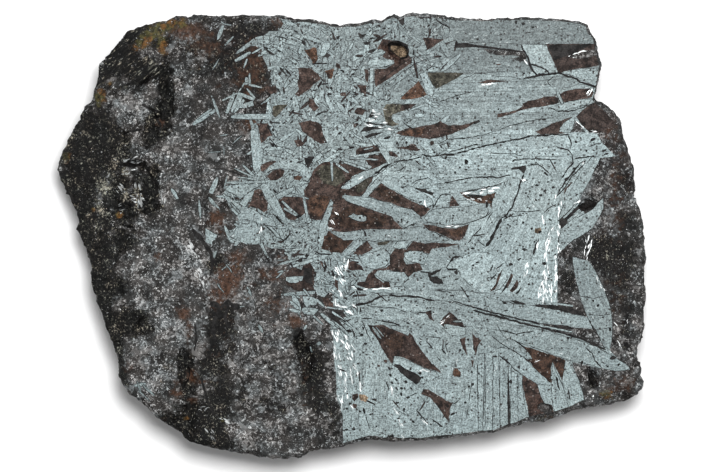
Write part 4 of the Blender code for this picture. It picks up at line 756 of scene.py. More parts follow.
LOWER = [
    window("brown", (5.3, -22.2), (7.8, -22.1), (9.5, -23), (12, -23.7), (14.3, -24.1), (15.3, -25),
        (16, -26.5), (18, -29.3), (20, -31.8), (21.5, -33), (22.5, -34.2), (20, -33.3), (17.8, -32.8),
        (15, -31.3), (12.5, -30.2), (10.5, -30), (10.9, -31.4), (9.8, -31.7), (8.8, -30.2), (7.5, -28),
        (6, -25.2), (4.2, -22.6), (3.9, -22.1)),
    window("rust", (8, -24), (11, -24.4), (13, -25), (12.5, -28), (10, -28.6), (8.4, -27), tone=0.45),
    *each(lath, (5.1, -22.6, 7.3, -25.6, 0.3, 0.6, 0.2, 0.9), (5.9, -22.6, 7.9, -25, 0.1, 0.3, 0.1, 0.85)),
    blade(0.95, -12, (9.5, -22.3), (12, -22.4), (13.7, -22.7), (14.4, -24), (14, -24.8), (12, -23.9),
        (10, -23.1)),
    blade(1.16, -25, (10.5, -30.4), (12.5, -30.5), (15, -31.5), (17.5, -32.8), (20, -33.6), (22.7, -34.5),
        (18.7, -36.2), (17.4, -37.2), (16.8, -35.5), (14, -33.9), (11.5, -32.9), (10.2, -32)),
    window("dark", (10.5, -31.9), (12, -32), (13.5, -33.2), (16, -34.2), (17.5, -35.4), (16.6, -36.6),
        (16, -37.1), (14, -35.6), (12, -33.9)),
    window("brown", (18.2, -18.9), (19.9, -18.4), (19.9, -20), (20.6, -21.5), (19.4, -20.5)),
    window("rust", (8, -11.3), (9.3, -11.5), (9.6, -12.7), (7.7, -12.7), tone=0.4),
    blade(0.95, -5, (5.8, -9.3), (7, -8.5), (10, -8.8), (13, -9), (14.1, -10.4), (13, -11.6), (9.6, -11.4),
        (7.6, -11)),
    blade(1.1, 2, (3, -13.1), (6, -13), (10, -12.7), (13.7, -12.4), (13.7, -14), (10, -14.2), (4, -14)),
    window("brown", (-1.1, -6.4), (0, -6.1), (2.5, -7.4), (3.1, -8.7), (1.5, -8.3), (0, -8.6),
        (-1.1, -8.1), tone=0.75),
    window("dark", (19.4, -9.9), (21, -10), (22.5, -10.8), (22.9, -11.9), (20.5, -11.8), (19.4, -11)),
    window("brown", (-7.6, -15.4), (-6, -15.2), (-4.7, -16.8), (-4.7, -17.6), (-6.6, -17.6)),
    window("dark", (-6, -18), (-2.4, -18.7), (-1.2, -20.4), (-4, -19.2)),
    window("dark", (-6.8, -18.8), (-5, -19.2), (-3.4, -20.6), (-1.6, -23.2), (-2.6, -22.8), (-5.4, -20.5)),
    window("brown", (17.8, -38.2), (19.2, -38.3), (20.5, -39.1), (22, -40), (23.5, -41), (25.1, -41.8),
        (24.5, -43), (24.4, -44.5), (24.1, -46.3), (23, -45), (22, -43.3), (20.8, -41.8), (19.5, -40.3),
        (17.3, -39.4), tone=0.85),
    window("brown", (0.1, -39.5), (1.4, -39.2), (1.6, -40.2), (0.6, -41.3), (0.1, -40.6), tone=0.8),
    window("brown", (0.2, -41.7), (1.3, -42.1), (1, -43.1), (0, -42.8), tone=0.8),
    window("tan", (1.6, -39.5), (3, -39.5), (4.1, -40.3), (3.5, -41.5), (2, -41), tone=1.2),
    window("brown", (20, -50.2), (22, -49.7), (24.3, -49.9), (23.8, -51.5), (19.5, -52)),
    window("dark", (8.6, -50), (10.4, -49.5), (10.8, -52), (9.2, -52)),
    *each(lath, (-6.2, -17.7, -2.3, -18.2, 0.3, 0.4, 0.3, 1.05),
        (-5, -18.8, 0, -22.6, 0.4, 0.6, 0.3, 1.2), (-7.2, -19.8, -1, -24, 0.3, 0.8, 0.5, 1.1),
        (-3.8, -21.8, -0.6, -24.8, 0.3, 0.6, 0.3, 1.0)),
    *each(crack, (0.35, (-4, -19.8), (-1.4, -21.6)), (0.8, (-1.3, -23.5), (0.1, -23.8)),
        (0.5, (0, -23), (0.8, -25.3)),
        (0.5, (0.5, -17.3), (3, -16.7), (5, -16.3), (7, -15.1), (9, -14.6), (12, -15), (16.5, -15),
         (18.4, -15.7), (20.5, -16.2)), (0.2, (3.5, -17.3), (8, -17.8), (11, -18), (13.8, -18.9)),
        (0.3, (15.6, -19.2), (18.6, -19)), (0.35, (6, -21), (9, -21.4), (12, -22.1)),
        (0.4, (2.4, -20.6), (5, -20.5)), (0.5, (4.3, -22.4), (5.5, -24.6)),
        (0.7, (17.2, -8.7), (19, -9), (20, -9.3), (22, -8.5), (22.3, -8)), (0.6, (19, -9), (19.6, -10.6)),
        (0.35, (22.4, -10.3), (23.8, -10)), (0.4, (23.6, -7.8), (23.9, -8.3), (26.5, -8.2)),
        (0.8, (0.9, -12.9), (2.9, -13.4)), (0.3, (13.2, -40.6), (15, -39.6), (16.3, -39)),
        (0.28, (16, -43.3), (17.5, -45), (18.6, -46.6)), (0.3, (20, -45.8), (21.5, -46.8), (23, -47.8)),
        (0.25, (8.4, -36), (9.3, -38.2)), (0.25, (25.3, -42), (27.3, -40.5)),
        (0.3, (1.7, -33.4), (2, -37), (2.6, -38.6)), (0.2, (2.3, -21), (4.2, -25), (5.2, -27)),
        (0.2, (3.4, -44.6), (3.8, -46), (4.6, -48.8)), (0.3, (18.6, -26.2), (19.5, -27.3), (20.4, -28.3)),
        (0.4, (22.5, -28), (23.5, -29.4)), (0.3, (23.3, -27.4), (24.2, -26.6)),
        (0.25, (21.3, -30), (22.5, -31.4)), (0.3, (20.8, -13.4), (25, -14.2)),
        (0.15, (21, -13.2), (24, -13.4), (28, -13.6), (33, -14.3)),
        (0.15, (20, -16), (24, -16.2), (28, -17.4))),
    *each(painted_glint, (-4.9, -13.6, -3.9, -17.4, 0.8), (-3.9, -17.5, -1, -17.9, 0.6),
        (-2.8, -13.2, -2.6, -15.4, 0.7), (-1.9, -18.3, -0.3, -19.6, 1.2), (-5.4, -23.3, -3.6, -26.6, 0.9),
        (-4, -23.3, -3.3, -25.9, 1.4), (-2.3, -25.8, 0.2, -30.2, 1.2),
        (-1.9, -24.6, 0.8, -28.4, 0.4, 0.9), (-4.4, -27.5, -3.6, -33.4, 0.6, 0.9),
        (-3.3, -29.5, -2.6, -35, 0.5, 0.9), (-1.2, -30.2, 1.4, -33.5, 0.4, 0.8),
        (1.3, -33.5, 2.4, -39.2, 0.5), (-2.2, -5.8, -2, -8.8, 1.3), (-3.9, -7.4, -2.3, -9.6, 1.2),
        (-3.4, -9.8, -2, -12.4, 1.2, 0.95), (-1, -6, -0.8, -7.6, 0.5, 0.9), (-1.8, -34.5, -1, -41.2, 0.6),
        (-3.1, -39.8, -2.3, -43.2, 0.8), (-3.3, -33.5, -2.8, -37, 0.5, 0.9),
        (-0.6, -32.5, 0.2, -37, 0.35, 0.9), (10.2, -42, 11.3, -44.2, 0.5),
        (11.9, -45.8, 12.8, -48.4, 0.6), (17.8, -46, 19.4, -48, 0.4, 0.8),
        (9.8, -37.6, 10.2, -39.8, 0.5, 0.8), (5.7, -50.4, 7.9, -50.8, 0.9), (8, -50.5, 9.7, -50.9, 0.5),
        (0.2, -12.7, 1.2, -13, 0.5), (3, -13.3, 9.4, -12.9, 0.35, 0.9), (-0.2, -41.9, 0.2, -42.8, 0.5),
        (0.2, -17.1, 0.8, -18, 0.8, 0.85), (12.5, -49.8, 13.4, -51, 0.5),
        (17, -33.4, 21, -33.9, 0.4, 0.7)),
    *each(pit, (7.4, -18.5, 0.4, 0.35), (14, -21.7, 0.5, 0.25, -20), (15.9, -16.2, 0.4, 0.2),
        (16.2, -17.3, 0.3, 0.2), (13.3, -15.9, 0.3, 0.25), (17.2, -25.7, 0.3, 0.2),
        (17, -26.8, 0.5, 0.2, -50), (20.9, -23.7, 0.3, 0.25), (8.4, -31.2, 0.5, 0.4, 0, "brown", 1.0),
        (9.3, -33, 0.5, 0.3, -50), (9.6, -34.7, 0.5, 0.3, -50), (11, -35.8, 0.6, 0.25, -50),
        (10, -36.6, 0.4, 0.3, -50), (11.2, -38.1, 0.5, 0.25, -60), (12.4, -38, 0.4, 0.3),
        (12.3, -39.4, 0.3, 0.5), (13.5, -36.4, 0.5, 0.35, -40), (14.8, -38, 0.5, 0.2, -50),
        (17, -34.2, 0.5, 0.35), (17.6, -35.2, 0.3, 0.3), (14, -40.3, 0.5, 0.3), (14.6, -33.2, 0.3, 0.3),
        (13, -43.3, 0.3, 0.5), (15.3, -46.3, 0.5, 0.3, -40), (11.6, -45.5, 0.35, 0.25),
        (22.2, -47.4, 0.4, 0.25), (25.2, -44.4, 0.6, 0.3, 30), (30.2, -37, 0.4, 0.35),
        (29.3, -37.5, 0.4, 0.25), (29.9, -33.9, 0.3, 0.3), (28.3, -41.5, 0.35, 0.3),
        (5.5, -40.8, 0.7, 0.25, -10), (11.3, -41.6, 0.5, 0.25, 10), (2, -43.8, 0.3, 0.3),
        (3, -43.6, 0.3, 0.8, 10), (-0.5, -41.8, 0.4, 0.3), (-1.3, -43, 0.3, 0.25),
        (-1.4, -48.3, 0.4, 0.3), (0.4, -48.2, 0.5, 0.3), (-2.3, -33.5, 0.9, 0.25, -20),
        (1.5, -31.8, 0.3, 0.3), (2.8, -29, 0.3, 0.25), (3.4, -26.8, 0.4, 0.3), (2.5, -24.6, 0.4, 0.4),
        (2.8, -22.9, 0.4, 0.25, -60), (24, -42.4, 0.3, 0.3), (6.7, -32.4, 0.35, 0.3, 0, "brown", 1.2),
        (4.6, -44.5, 0.3, 0.25), (15, -49.9, 0.4, 0.25), (19.7, -47, 0.3, 0.2), (6.1, -47.5, 0.3, 0.25)),
]

LOWER_LEFT = [
    window("brown", (-14.8, -7.6), (-12.6, -8.4), (-12.3, -7.4), (-10.4, -6.6), (-9.6, -8), (-9.5, -10.2),
        (-9.6, -12.6), (-8.9, -14.6), (-11, -14), (-14, -13.6), (-16.5, -12), (-16.4, -9), tone=0.6),
    window("dark", (-12, -8), (-10, -8), (-9.8, -12), (-11.5, -11.6), (-12.2, -9.8)),
    window("brown", (-8.1, -6.2), (-6.4, -6.8), (-6.7, -8.8), (-7.6, -7.4)),
    blade(0.98, 0, (-16.4, -10.2), (-13.5, -10), (-12.2, -9.9), (-12.4, -11), (-14, -11.6), (-15.6, -11.6),
        (-16.6, -10.9)),
    *each(lath, (-17.7, -14.6, -9.3, -14, 0.3, 0.9, 0.7, 1.0),
        (-15.8, -14.4, -13, -15.3, 0.3, 0.5, 0.3, 0.95), (-12.1, -13.2, -10.6, -15, 0.3, 0.45, 0.3, 0.95),
        (-14.8, -14.8, -12.9, -18.6, 0.6, 1.4, 0.4, 1.03),
        (-15.5, -16.2, -13.3, -18.2, 0.3, 0.8, 0.4, 1.0),
        (-18.9, -10.4, -16.9, -8.5, 0.15, 0.4, 0.2, 0.9), (-18.6, -9, -16.7, -8.4, 0.15, 0.4, 0.2, 0.9),
        (-18.6, -7.1, -14.6, -6, 0.2, 0.5, 0.4, 0.98)),
    blade(1.05, -20, (-12.3, -15), (-10, -15.1), (-8.7, -16), (-9, -17.1), (-10.5, -17.2), (-11.3, -17.9),
        (-12.1, -16.5)),
    blade(0.98, -10, (-12.2, -17.8), (-10, -17.8), (-8.4, -18.3), (-9.5, -19.6), (-12, -19.4),
        (-12.6, -18.5)),
    *each(lath, (-15.7, -18.2, -12.9, -19, 0.3, 0.8, 0.4, 0.95),
        (-13.4, -19, -12.7, -20.4, 0.3, 0.4, 0.2, 0.9), (-9.6, -19.9, -7.2, -22.1, 0.4, 0.5, 0.2, 1.0),
        (-8.9, -15.7, -6.9, -17.7, 0.4, 0.6, 0.2, 1.0), (-7.8, -19.3, -4.4, -22.2, 0.4, 0.9, 0.6, 1.0),
        (-7.2, -6.8, -6.6, -8.2, 0.2, 0.3, 0.2, 1.0)),
    *each(crack, (0.6, (-5.8, -8.5), (-5.5, -10.2)), (0.5, (-4.8, -8.4), (-4.7, -10.2)),
        (0.5, (-6.3, -7.2), (-7, -9)), (0.4, (-6.5, -14.8), (-5.6, -14)),
        (0.35, (-19.9, -15.6), (-17.3, -14.8))),
    window("brown", (-4.3, -10.8), (-3.6, -11), (-3.4, -13.3), (-4.3, -12.4)),
    *each(lath, (-32.6, -8.4, -30.5, -6.8, 0.2, 0.3, 0.2, 0.7),
        (-31.7, -6.7, -30, -9, 0.2, 0.3, 0.2, 0.7), (-33.6, -12, -32, -14, 0.15, 0.3, 0.15, 0.65),
        (-29.3, -17.8, -26.8, -17.4, 0.1, 0.3, 0.1, 0.7),
        (-26.2, -12.6, -25.2, -14.8, 0.2, 0.6, 0.3, 0.85), (-23.4, -22, -22.4, -24, 0.2, 0.8, 0.3, 0.8),
        (-12, -23.4, -11.4, -22.2, 0.2, 0.6, 0.3, 0.85), (-10.4, -27.6, -10, -29, 0.2, 0.4, 0.2, 0.75),
        (-19, -6, -16.6, -5.8, 0.1, 0.25, 0.1, 0.8), (-8.8, -27, -7.8, -26.6, 0.3, 0.9, 0.4, 0.7)),
]

# Painted glints, white flecks of painted highlight, and small crystals and open cracks of the rind and of the
# granular rock beside it
LEFT_RIM = [
    *each(painted_glint, (-64, 14.2, -60.6, 17, 2.0, 0.7), (-58.6, 18.9, -54, 19.8, 1.4, 0.55),
        (-57.4, 15.6, -54.4, 16.8, 1.2, 0.65), (-62.8, 15, -61.4, 8, 2.4, 0.7),
        (-64.2, 16.8, -62, 12.4, 1.6, 0.6), (-53.8, 12.8, -53, 6.8, 1.8, 0.65),
        (-60.6, 13.4, -58.6, 15.2, 1.8, 0.6), (-58.4, 12.6, -56.2, 10.6, 1.4, 0.55),
        (-62, 8, -61.2, 1.8, 2.0, 0.65), (-64, 5, -63.4, 0.5, 1.6, 0.6), (-55, 10, -52, 9, 1.6, 0.55),
        (-47.6, 12.6, -47, 7.9, 1.0, 0.45), (-60, 6, -57, 7.4, 1.4, 0.5),
        (-60.4, 43.4, -58.8, 46, 0.4, 0.6), (-61, 47.2, -59.2, 47.8, 0.4, 0.5),
        (-57.6, 41.4, -54.8, 43, 0.4, 0.4), (-64, 1.2, -61, -1, 2.2, 0.45),
        (-38.8, -8.6, -37, -12.6, 2.0, 0.42), (-41.6, -2.4, -38.4, -7, 2.4, 0.42),
        (-33, -45.4, -31, -46.4, 1.4, 0.5), (-36, -48, -34.4, -50.4, 1.0, 0.4),
        (-38, -43.4, -36, -42.4, 0.8, 0.4)),
    *each(lath, (-54.6, -37.4, -51.6, -36.8, 0.3, 0.9, 0.3, 0.74),
        (-53.4, -38.6, -50.4, -41.6, 0.2, 0.6, 0.2, 0.74),
        (-52.2, -37.2, -49.4, -39.8, 0.2, 0.6, 0.2, 0.7),
        (-53.8, -36.2, -52.8, -38.8, 0.2, 0.5, 0.2, 0.72)),
    *each(crack, (0.9, (-39.9, 1.9), (-37.4, -0.9), (-35.5, -4), (-33.9, -7.2)),
        (0.5, (-35.5, -4), (-34.9, -7.6), (-35.6, -9.6)),
        (1.1, (-35.5, -16.4), (-33, -17.8), (-31, -16.6), (-28, -18.1)),
        (0.9, (-33, -18), (-34.8, -22), (-34.2, -27)), (0.7, (-31, -17), (-31.8, -20.4), (-30.6, -23)),
        (0.6, (-39.4, -21.6), (-38.8, -25.4), (-39.4, -28.6)),
        (0.6, (-58.4, 25.2), (-55.6, 26.2), (-52.4, 26.8)),
        (0.9, (-57.4, 18.2), (-54.6, 17.6), (-52, 18.4), (-50.6, 16)),
        (0.6, (-52.6, 33), (-49.6, 31.6), (-46.6, 30.4)),
        (0.7, (-49.4, 30.8), (-47.8, 27.6), (-49, 24.8)), (0.5, (-50.6, 16), (-48.8, 12.6), (-49.4, 9)),
        (0.5, (-58, 37.6), (-54.4, 38.8), (-51.6, 40.8)),
        (0.5, (-37.8, -35), (-36.4, -40), (-34.6, -44.6)), (0.4, (-41, -31), (-40.6, -34.6), (-42, -38))),
]

FACE = (UPPER_LEFT + UPPER_MIDDLE + UPPER_RIGHT + MIDDLE_LEFT + LEFT_BLADES + CENTRE + RIGHT + LOWER_RIGHT
        + LOWER + LOWER_LEFT + LEFT_RIM)

# Soft zones of the granular rock by kind: middle, half sizes, turn in degrees and strength
ZONES = {
    "bright": [
        (-54.5, 31, 4, 4.2, 0, 0.9), (-58, 35.5, 2.4, 2, 0, 0.6), (-54.5, 23.6, 2.2, 2.8, -30, 0.8),
        (-50, 18.8, 3.6, 2.2, 0, 0.9), (-43, 17.6, 3, 3, 0, 0.9), (-43.8, 37.8, 0.9, 1.2, 0, 1.5),
        (-39.6, 37, 2.6, 3, 0, 0.45), (-43.6, 24, 1.8, 5, -10, 0.7), (-41, 46, 1.8, 5, 20, 0.8),
        (-48.6, 43.4, 2.8, 1.4, 0, 0.8), (-62, 12.5, 1.6, 5, -25, 1.2), (-56.8, 16, 1.8, 1.2, 0, 1.0),
        (-53.6, 9, 1.0, 4, 0, 1.3), (-56.6, 10.4, 0.9, 2, 0, 1.0), (-62.6, 6.4, 1.2, 3, 15, 1.1),
        (-64, 2, 0.8, 2, 0, 0.8), (-45, 4.6, 4, 2, 0, 0.5), (-47.4, 11, 0.8, 6, 0, 1.0),
        (-48, -1, 4, 3, 0, 0.7), (-45, -7.6, 6, 2.6, 0, 0.9), (-41, -3.6, 1.4, 3, 30, 1.2),
        (-52, -9, 4, 3, 0, 0.7), (-38.4, -9.6, 2.4, 2, 0, 0.9), (-53, -16.8, 1.2, 1.6, 0, 1.3),
        (-47, -19, 4, 2.6, 0, 0.9), (-46, -23.6, 3.4, 3, 0, 1.0), (-53, -29, 3.6, 3, 0, 1.0),
        (-48.6, -32.6, 3.6, 2.6, 0, 0.9), (-44.6, -33, 1.2, 2.4, 0, 1.1), (-52.8, -36.6, 2.8, 1.4, 0, 1.5),
        (-49, -39.4, 1.4, 3, -40, 1.1), (-30, -48, 2.8, 2.4, 0, 1.0), (-25, -50, 4, 3, 0, 0.7),
        (-23, -34, 6, 9, 0, 0.15), (-27.6, -26.6, 2, 3, 0, 0.9), (-22, -23, 4, 2.6, 0, 0.7),
        (-26, -14, 2, 2, 0, 0.8), (-38, -12, 6, 8, 0, 0.2), (-30, 20, 4, 6, 0, 0.35),
        (-58.6, 19.2, 2.4, 0.9, 15, 0.9), (-57.5, 22, 2.2, 0.9, 20, 0.7), (60, 12, 2, 3, 0, 0.5),
    ],
    "rust": [
        (-36, 48, 6, 5, 0, 0.65), (-31, -11, 4, 3.8, 0, 1.15), (-49, -5.2, 1.5, 1.4, 0, 1.1),
        (-42.2, -19.4, 2, 2.4, 0, 1.1), (-40.6, -24, 1, 3, 0, 0.8), (-40.2, -35, 1.2, 2, 0, 1.2),
        (-37.4, -36.3, 1.2, 0.6, 0, 1.0), (-44, -39.4, 2, 1.4, 0, 0.9), (-40, -41, 1.4, 0.8, 0, 1.1),
        (-44, -36.6, 1.4, 1.4, 0, 0.7), (-56, -32.6, 1.8, 2, 0, 0.6), (-42.6, 52, 4, 2.6, 0, 1.2),
        (-13.9, -21.3, 2, 1.5, 0, 1.3), (-20, -9.6, 4, 2.4, 0, 0.8), (-34, 4.6, 2.6, 2.6, 0, 0.9),
        (-47.6, 28.4, 1.6, 1, 0, 0.8), (-28, -5, 3, 2, 0, 0.7), (67, -37, 5, 3, 0, 0.75),
        (-46.6, -45.6, 1.4, 1, 0, 0.7), (-17, -5, 2.6, 2, 0, 0.7), (-34, -16, 3, 3, 0, 0.6),
        (-24, 46, 4, 6, 0, 0.6), (-24, 38, 5, 8, 0, 0.35), (-18.6, 53.6, 2.6, 1.6, 0, 0.9),
        (-19, -17, 3, 3, 0, 0.5), (66, 4, 3, 8, 0, 0.5), (66, 18, 4, 10, 0, 0.45), (66, -16, 4, 10, 0, 0.4),
        (-26, 28, 4, 2, 0, 0.7), (-30, 38, 6, 5, 0, 0.4), (64, 28, 3, 4, 0, 0.6),
        (-36, -30, 6, 10, 0, 0.25), (-25, -20, 8, 10, 0, 0.25), (-15, -17, 4, 5, 0, 0.3),
        (-31, 0, 5, 12, 0, 0.25), (-20, 20, 6, 10, 0, 0.3), (-13, -36, 6, 9, 0, 0.3),
    ],
    "black": [
        (-67.5, 22.5, 6.5, 13, -20, 1.0), (-67, 4, 3.5, 12, 12, 0.9), (-64, -12, 3, 12, 10, 0.9),
        (-60, -27, 2.4, 10, 18, 0.9), (-59, 45, 3.5, 9, -42, 0.9), (-54, 51, 2, 4, -55, 0.8),
        (-53, 41, 5, 4, 0, 1.1), (-46.5, 35, 1.8, 7.5, 0, 1.3), (-49, 29, 3, 3, 20, 1.0),
        (-50, 25, 2.4, 4, -20, 0.9), (-50.6, 13, 2.3, 4.2, 0, 1.0), (-50, 7.5, 2.4, 2.6, 0, 0.8),
        (-60, 23, 5, 4, 20, 0.95), (-57, 2, 5, 6, 0, 0.35), (-58.5, 10.5, 6.5, 8.5, 0, 0.8),
        (-62, -8, 4, 7, 0, 0.7), (-57.5, -13, 3, 3, 0, 0.5), (-56, -20, 5, 3, 10, 1.0),
        (-54, -23, 5, 2.2, 0, 0.9), (-41.5, -33, 1.6, 5, 0, 0.8), (-38, -43, 6, 4, 0, 0.55),
        (-40, -49, 5, 3, 0, 1.1), (-35, -51, 5, 1.6, 0, 1.0), (-33, -42, 2.4, 6, 0, 0.6),
        (-31.5, -22, 2.4, 4, 0, 0.8), (-34.6, -25, 1.6, 7, 0, 0.8), (-32, -18.6, 4, 1.4, 10, 0.7),
        (-13, -26, 1.6, 3.6, 10, 1.1), (-10, -31.5, 2.8, 4.2, 0, 1.1), (-10, -37, 3, 8, 0, 0.35),
        (62.6, -5, 3, 4.6, 0, 1.1), (-4.6, -46, 2.0, 6, 0, 0.6), (60, -36, 1.6, 3, 20, 0.8),
        (-46, -46, 3, 2, 0, 0.5), (-34, -7, 1.8, 2.4, 0, 0.8), (-36.5, 8, 1.2, 7, 0, 0.5),
        (-48, 48.6, 3.4, 1.3, 25, 0.8), (68, -12, 3, 20, 0, 0.35), (-34, 46, 8, 9, 0, 0.72),
        (67, 2, 6, 26, 0, 0.40), (53.5, -9, 3, 8, 0, 0.68), (-40, -46, 8, 5, 0, 0.35),
        (-57, -2, 3, 2, 0, 0.4), (-21, -41, 7, 6, 0, 0.22), (-23, 52, 6, 4, 0, 0.55),
        (-24.5, 38.5, 5, 9, 0, 0.95), (-33, -33, 4.5, 12, 0, 0.5), (-41, -34, 4.5, 9, 0, 0.35),
        (-23.5, -33, 5, 12, 0, 0.3), (-24, -12, 4, 4, 0, 0.35), (-15, -19, 4, 5, 0, 0.35),
        (-33, 5, 4, 5, 0, 0.5), (-32.5, -9, 4, 10, 0, 0.25), (-8.5, -40, 3, 6, 0, 0.45),
    ],
    "gold": [
        (-51.4, 49.6, 1.5, 4.2, -48, 1.9), (-47.6, 52.2, 3.2, 1.5, 20, 1.3), (-43, 53, 3, 1.4, 0, 1.1),
        (-47.4, 47.6, 1.3, 2.4, 0, 1.5), (-63, 35, 1.4, 2.2, 0, 1.5), (-60.4, 38.6, 0.7, 0.9, 0, 1.2),
        (-64.6, 6.8, 0.7, 0.7, 0, 1.4), (-58.2, 5.4, 1.2, 0.8, 20, 1.4), (-71.6, 20, 1.2, 2, 0, 0.8),
        (-28.4, -6.6, 2, 0.9, 0, 0.8), (-41.6, -45.5, 1, 0.7, 0, 1.2), (-48.6, -36, 0.8, 0.6, 0, 0.9),
        (63.6, -39.6, 2.2, 1.2, 0, 1.0), (48, -45.4, 2, 1, 0, 0.6), (-32, -46, 1, 0.8, 0, 0.7),
    ],
}

# The zones are read at places this far apart within SPAN of the middle, so that their edges are soft. Left of
# RIND_EDGE, where black is above RIND_START, the rock is unpolished rind with a relief of its own.
SPAN = 76
ZONE_STEP = 1.6
ZONE_EDGE = 1.1  # how suddenly a zone ends
RIND_STEP = 0.55
RIND_EDGE = -40
RIND_START = 0.25
RIND_SLOPE = 0.3  # how much blacker than RIND_START the rind has its full relief
RIND_RELIEF = 1.5
RIND_LEVEL, RIND_MOST = 0.5, 1.2  # usual and greatest depth as shares of the relief
RIND_DEPTH = 4  # where the noise of the relief is read
RIND_FACET, RIND_CRUMB, RIND_CRUMBS = 3.0, 1.3, 0.4  # sizes of the rind's facets and crumbs, and their share

# The grooved part at the top left: middle, reach, and turn of its grooves in degrees from +X
GROOVE_MIDDLE, GROOVE_REACH, GROOVE_TURN = (-57, 44), 13, 38
GROOVE_LEVEL, GROOVE_HEIGHT, GROOVE_LENGTH, GROOVE_WIDTH = 0.5, 1.3, 6.0, 1.1

# The broken sides: longest edge of their triangles, depth below the rim and above the back within which they
# grow rough, furthest they stand out, and size and height of their facets and crumbs
SIDE_STEP = 0.9 * MM
SIDE_EDGE = 0.8 * MM
SIDE_MOST = 0.3 * MM
SIDE_FACET, SIDE_FACETS = 4.0 * MM, 0.9 * MM
SIDE_CRUMB, SIDE_CRUMBS = 1.1 * MM, 0.42 * MM

# The map for baking: scale of the back with the face at 1, gap and height of a side's row, and how far up or
# down a surface has to face to count as face or back
BACK_SCALE = 0.25
MAP_GAP = 0.012
SIDE_HEIGHT = 0.11
FLAT = 0.35

# Broad crystal surfaces under the rest: tone, turn of the grain and outline
SHEETS = [
    (0.78, 40, [(-34, 60), (-34, 20), (0, 20), (4, 60)]),
    (0.74, 12, [(0, 60), (0, 44), (24, 46), (26, 60)]),
    (0.70, 14, [(-4, 44), (6, 36), (20, 33), (62, 38), (62, 50), (20, 50)]),
    (0.84, 12, [(-4, 36), (8, 26), (62, 24), (62, 40), (20, 36)]),
    (1.02, 10, [(4, 26), (-2, 16), (20, 8), (42, 8), (58, 16), (70, 24), (50, 27), (30, 26)]),
    (1.06, 66, [(33, -18), (28, 2), (38, 14), (50, 22), (66, 24), (60, 0), (52, -18)]),
    (0.86, -4, [(-6, 10), (-6, -6), (24, -3), (26, 6)]),
    (0.90, -12, [(0, -3), (0, -28), (24, -26), (44, -32), (72, -36), (60, -18), (30, -13), (20, -4)]),
    (0.96, 82, [(-6, -20), (-8, -60), (60, -60), (56, -36), (36, -28), (20, -26), (6, -22)]),
    (0.90, -60, [(-16, 0), (-16, -26), (-2, -26), (0, 0)]),
]

# Where the crystals lie at another slant and so look darker or lighter: middle, half sizes and factor
SLANTS = [
    (42, 53, 26, 5.5, 0.58), (30, 44, 8, 3.5, 0.80), (-12, 45, 9, 8, 0.84), (12, 1, 12, 4, 0.80),
    (61, -15, 4, 9, 0.82), (52, -28, 10, 4, 0.90), (-23, 8, 9, 10, 0.90), (38, 18, 14, 6, 1.32),
    (21.5, -14, 5, 8, 0.88), (22, -27, 5, 7, 0.88), (-4, 31, 5, 6, 1.16), (12, 29, 6, 9, 0.93),
    (44, 0, 9, 9, 1.14), (8, -42, 10, 8, 1.18), (-16, 37, 9, 8, 1.10), (32, -10, 9, 6, 1.12),
    (-4, -9, 5, 6, 0.92), (-2, -28, 5, 10, 0.94),
]

# Where the windows are darker: middle, half sizes and factor
SHADES = [(3, 16, 10, 6, 0.80), (13, -26, 8, 7, 0.82), (22, -18, 6, 14, 0.80), (12, 28, 10, 5, 0.86)]

# Fans of long laths over the sheets: both ends of the start line, both of the end line, count and tone
FANS = [
    ((24, 49.6), (24, 56.5), (61, 49.4), (64, 56.5), 3, 0.66),
    ((6, 36.6), (1, 41.5), (24, 44.6), (22, 47.6), 5, 0.84),
    ((20, 42), (22, 47), (44, 41), (44, 46), 3, 0.72),
    ((15, 33.6), (17, 40), (61, 34.6), (60, 42), 6, 0.86),
    ((9, 28.6), (16, 33), (61, 27.6), (61, 34), 6, 0.90),
    ((4, 19.4), (7, 26.4), (57, 17.6), (59, 25.2), 6, 1.04),
    ((8, 14.6), (6, 18.6), (40, 12.8), (42, 17.4), 4, 1.04),
    ((20, 9), (20, 13), (37, 9.6), (37, 13), 3, 0.98),
    ((33, -3), (50, -16), (43, 14), (61, 19), 6, 1.10),
    ((27, -12), (34, -3), (40, 4), (43, 12), 3, 1.02),
    ((19, -15), (23, -25), (60, -20.6), (68, -33), 6, 0.94),
    ((1, -50), (27, -50), (4, -22), (28, -31), 7, 1.03),
    ((-4, -40), (1, -50), (-4.5, -24), (3, -20), 4, 1.0),
    ((3, -15), (3, -21), (20, -15.4), (21, -21), 3, 0.96),
    ((-16, -3.4), (-9, -8), (2, -8), (2, -14), 5, 0.98),
    ((-5.4, -22), (-8, -16), (3, -20), (1, -15), 5, 1.0),
]
FAN_SHARE = (0.5, 1.5)  # how a fan's laths share its width
FAN_SLIP = (-0.2, 0.2)  # how far a lath's ends slip to the side, as a share of its width
FAN_NEAR, FAN_FAR = (0.0, 0.12), (0.85, 1.0)  # where a lath starts and ends between the two lines
FAN_FULL, FAN_TIP = (1.0, 1.3), 0.6  # width of a lath at its middle and ends, as a share of its room
FAN_SPREAD, FAN_HALO = 0.06, 0.05

